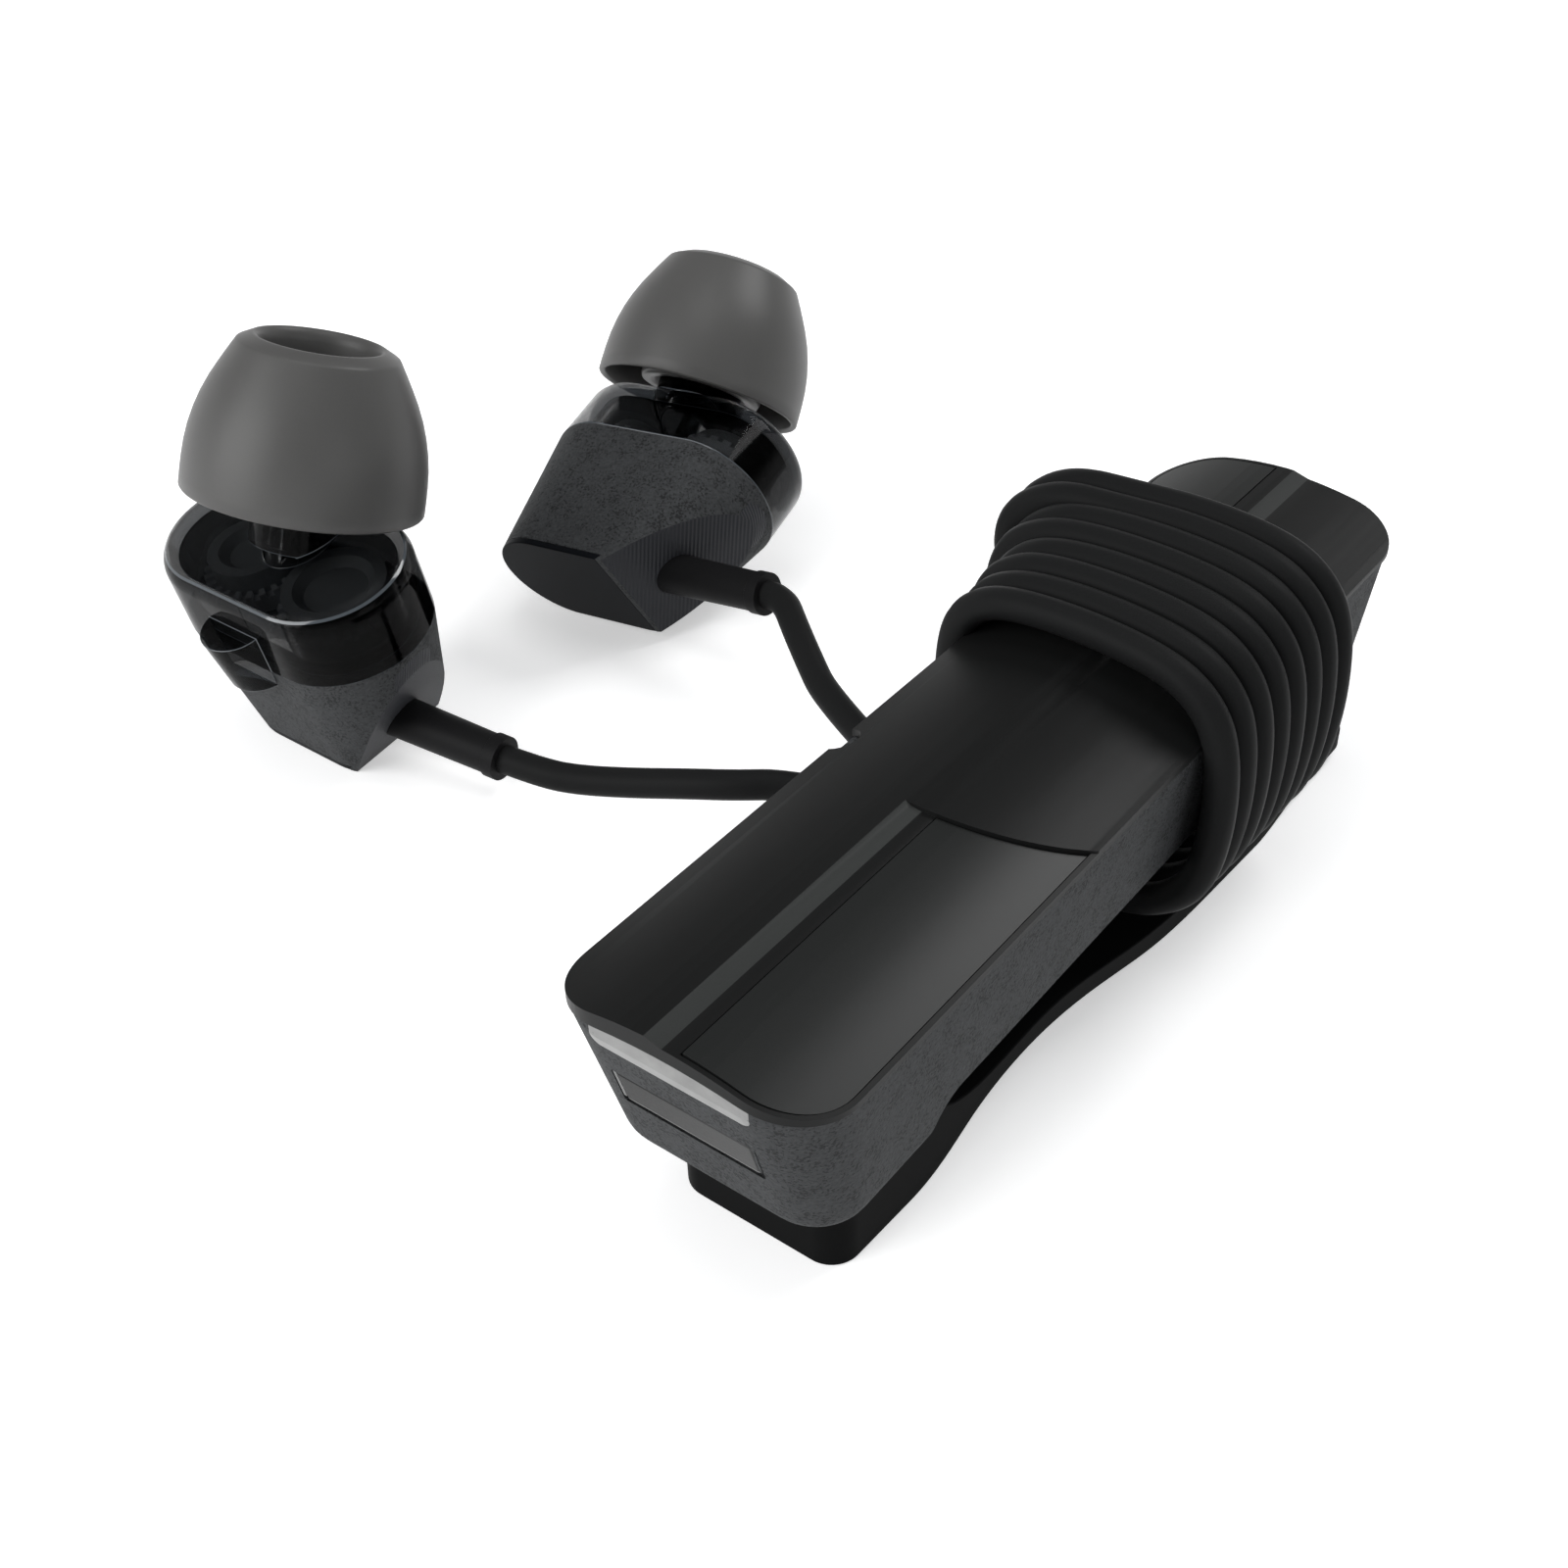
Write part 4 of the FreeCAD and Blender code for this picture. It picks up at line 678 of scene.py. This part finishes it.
# %% [markdown]
# ## Ear tips
#
# A silicone tip is a soft bell folded back over a tube that grips the nozzle, so it is a surface of revolution. Its
# outline is drawn once as a chain of points, from the tube's foot up through the mouth and down the bell to its
# thin rim, and spun round the nozzle's axis.

# %% Outline of the ear tip
tube_inside = [(3.12, 0.5), (3.12, 8.1)]
mouth = [(3.2, 8.45), (3.34, 8.7), (3.48, 8.79), (3.64, 8.77), (4.3, 8.42), (4.38, 8.36), (4.44, 8.27)]
bell_outside = [(4.62, 7.95), (4.9, 7.45), (5.22, 6.85), (5.6, 6.1), (5.98, 5.2), (6.27, 4.3), (6.48, 3.4),
                (6.61, 2.5), (6.67, 1.6), (6.69, 0.8)]
rim = [(6.69, 0.12), (6.62, 0.02), (6.46, 0.0), (6.34, 0.06), (6.28, 0.2)]
bell_inside = [(6.24, 1.2), (6.12, 2.4), (5.85, 3.5), (5.45, 4.6), (5.0, 5.6), (4.6, 6.4), (4.35, 6.85)]
tube_outside = [(4.15, 7.0), (4.04, 6.8), (4.02, 6.4), (4.02, 0.8), (3.9, 0.5)]
tip_outline = tube_inside + mouth + bell_outside + rim + bell_inside + tube_outside
tip_foot = 1.45
mesh_to_base = 6.55
tip_steps = 96
nozzle_ways = {"left": (0, 0.358368, 0.93358), "right": (-0.128604, 0.659842, 0.740317)}
print("outline points", len(tip_outline))

# %% [markdown]
# The outline is spun about Z, where it was drawn, and then turned to the nozzle's way. The foot of the tube is found
# from the nozzle's mesh disc, because that disc is the one small piece that fixes both the axis and the height.

# %% A tip on its nozzle
def make_tip(hand):
    """Spin the outline round one nozzle, and let the tip ride with its own body."""
    way = Vector(nozzle_ways[hand])
    low, high = (Vector(corner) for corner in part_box(hand + "_nozzle_mesh"))
    base = (low + high) / 2 - way * mesh_to_base * MM
    work = bmesh.new()
    ring = [work.verts.new(on(radius, 0, height + tip_foot)) for radius, height in tip_outline]
    edges = [work.edges.new((a, b)) for a, b in zip(ring, ring[1:] + ring[:1])]
    bmesh.ops.spin(work, geom=ring + edges, cent=(0, 0, 0), axis=(0, 0, 1), angle=2 * math.pi, steps=tip_steps,
                   use_merge=True, use_duplicate=False, dvec=(0, 0, 0), space=Matrix())
    bmesh.ops.remove_doubles(work, verts=work.verts, dist=0.001 * MM)
    bmesh.ops.recalc_face_normals(work, faces=work.faces)
    work.transform(Matrix.Translation(base) @ way.to_track_quat("Z", "Y").to_matrix().to_4x4())
    mesh = bpy.data.meshes.new(hand + "_silicone_tip")
    work.to_mesh(mesh)
    work.free()
    piece = bpy.data.objects.new(hand + "_silicone_tip", mesh)
    scene.collection.objects.link(piece)
    mesh.polygons.foreach_set("use_smooth", [True] * len(mesh.polygons))
    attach(piece, hand + "_ear_tip")
    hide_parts(hand + "_ear_tip")
    print(hand, "tip faces", len(mesh.polygons))
    return piece


# %% [markdown]
# Silicone is soft and slightly cloudy: light goes in a millimetre and comes out beside. A little subsurface
# scattering gives that softness, and a matt, barely grained surface the dull highlight.

# %% Silicone
silicone = finish("grey_silicone", (0.084, 0.083, 0.081), 0.42, grain=0.002, grain_size=0.1, mottle=0.05,
                  gloss=0.35)
shader = silicone.node_tree.nodes["Principled BSDF"]
shader.inputs["Subsurface Weight"].default_value = 0.08
shader.inputs["Subsurface Radius"].default_value = (1.2, 1.1, 1.0)
shader.inputs["Subsurface Scale"].default_value = 0.8 * MM
for hand in ("left", "right"):
    make_tip(hand).data.materials.append(silicone)

# %% [markdown]
# ## Cords
#
# Each cord is one limp tube, 1.7 mm thick. It leaves the earbud's strain relief, lies low to the hub's left edge,
# goes in under the hub and round it four times, and ends in the grommet in the hub's wall. The two cords are wound
# side by side, so their turns alternate. A NURBS spline with the route's points as its control points gives the
# smooth line of a soft cord.

# %% Cord sizes, as the solids have them
cord_thick = 1.7
strand_pitch = 1.76
winding_start = 22.5
winding_turns = 4
loop_low, loop_low_far = 3.25, 2.6
loop_high, loop_high_far = 17.45, 17.65
loop_reach = 8.28
reaches_left = (8.28, 8.7, 9.9, 11.2)
squareness = 3.1
way_out = [(-4.4, 17.35), (-7.9, 17.0), (-10.4, 15.4), (-11.3, 13.4), (-11.2, 11.64), (-10.34, 10.16), (-8.86, 9.3),
           (-7.9, 9.3)]
points_per_turn = 16
print("turns", 2 * winding_turns)

# %% [markdown]
# A cord pulled round a block lies flat on its faces and rounds its corners. A circle with its sine and cosine
# raised to a power below one has that form, and one number, the squareness, tells how tight the corners are. On
# the left the last turns hang out further, as the picture shows, so each turn has its own reach there.

# %% A loop round the hub
def turn_place(angle, reach_left, low, high):
    """Across and height of the cord at an angle round the hub, on a loop with rounded corners."""
    power = 2 / squareness
    across = math.copysign(abs(math.cos(angle)) ** power, math.cos(angle))
    height = math.copysign(abs(math.sin(angle)) ** power, math.sin(angle))
    reach = loop_reach if across > 0 else reach_left
    return across * reach, (low + high) / 2 + height * (high - low) / 2


# %% The turns of one cord
def winding_points(strand):
    """Points of one cord's turns, from under the hub to the grommet."""
    places = []
    count = int(points_per_turn * (winding_turns - 0.5)) + 1
    for step in range(1, count):
        turns = step / points_per_turn
        share = min(1, turns / (winding_turns - 1))
        low = loop_low + (loop_low_far - loop_low) * share
        high = loop_high + (loop_high_far - loop_high) * share
        left = reaches_left[int(turns)]
        angle = math.radians(-90) + 2 * math.pi * turns
        x, z = turn_place(angle, left, low, high)
        places.append((x, winding_start + strand * strand_pitch + 2 * strand_pitch * turns, z))
    end_y = winding_start + strand * strand_pitch + 2 * strand_pitch * (winding_turns - 0.25)
    last_y = places[-1][1]
    for step, (x, z) in enumerate(way_out):
        places.append((x, last_y + (end_y - last_y) * min(1, step / 4), z))
    return places


# %% [markdown]
# The free stretches are given point by point. Each follows its line in the picture, starts straight out of the
# strain relief, and stays low, because a limp cord doesn't stand up. The last point is the first of the turns' run
# under the hub, so stretch and winding are one spline without a joint.

# %% The free stretches
left_route = [(-30.95, 14.14, 2.23), (-28.2, 14.35, 2.3), (-26.0, 15.05, 2.35), (-22.85, 15.95, 3.0),
              (-19.7, 16.85, 3.8), (-17.1, 17.9, 4.2), (-15.0, 19.5, 4.2), (-10.2, 21.7, 3.6), (-5.9, 21.95, 3.3),
              (-2.2, 22.0, 3.25)]
right_route = [(-25.42, 31.69, 6.07), (-24.2, 31.67, 6.28), (-22.05, 29.9, 6.0), (-19.9, 28.45, 5.2),
               (-17.95, 27.25, 4.4), (-9.8, 23.75, 3.7), (-5.8, 23.7, 3.3), (-2.2, 23.76, 3.25)]
print("route points", len(left_route), "and", len(right_route))


# %% The two cords
def lay_cord(name, route, strand, nodes_replaced):
    """A round cord along its route and its turns, as one spline."""
    places = [on(*p) for p in route + winding_points(strand)]
    curve = bpy.data.curves.new(name, "CURVE")
    curve.dimensions = "3D"
    curve.resolution_u = 8
    spline = curve.splines.new("NURBS")
    spline.points.add(len(places) - 1)
    for point, place in zip(spline.points, places):
        point.co = (*place, 1)
    spline.order_u = 3
    spline.use_endpoint_u = True
    curve.bevel_depth = cord_thick / 2 * MM
    curve.bevel_resolution = 5
    curve.use_fill_caps = True
    piece = bpy.data.objects.new(name, curve)
    scene.collection.objects.link(piece)
    curve.materials.append(paints["cord"])
    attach(piece, "hub")
    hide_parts(*nodes_replaced)
    bare = curve.copy()
    bare.bevel_depth = 0
    probe = bpy.data.objects.new("probe", bare)
    scene.collection.objects.link(probe)
    line = bpy.data.meshes.new_from_object(probe)
    bpy.data.objects.remove(probe)


lay_cord("left_cord_laid", left_route, 0, ("left_cord", "left_cord_winding"))
lay_cord("right_cord_laid", right_route, 1, ("right_cord", "right_cord_winding"))
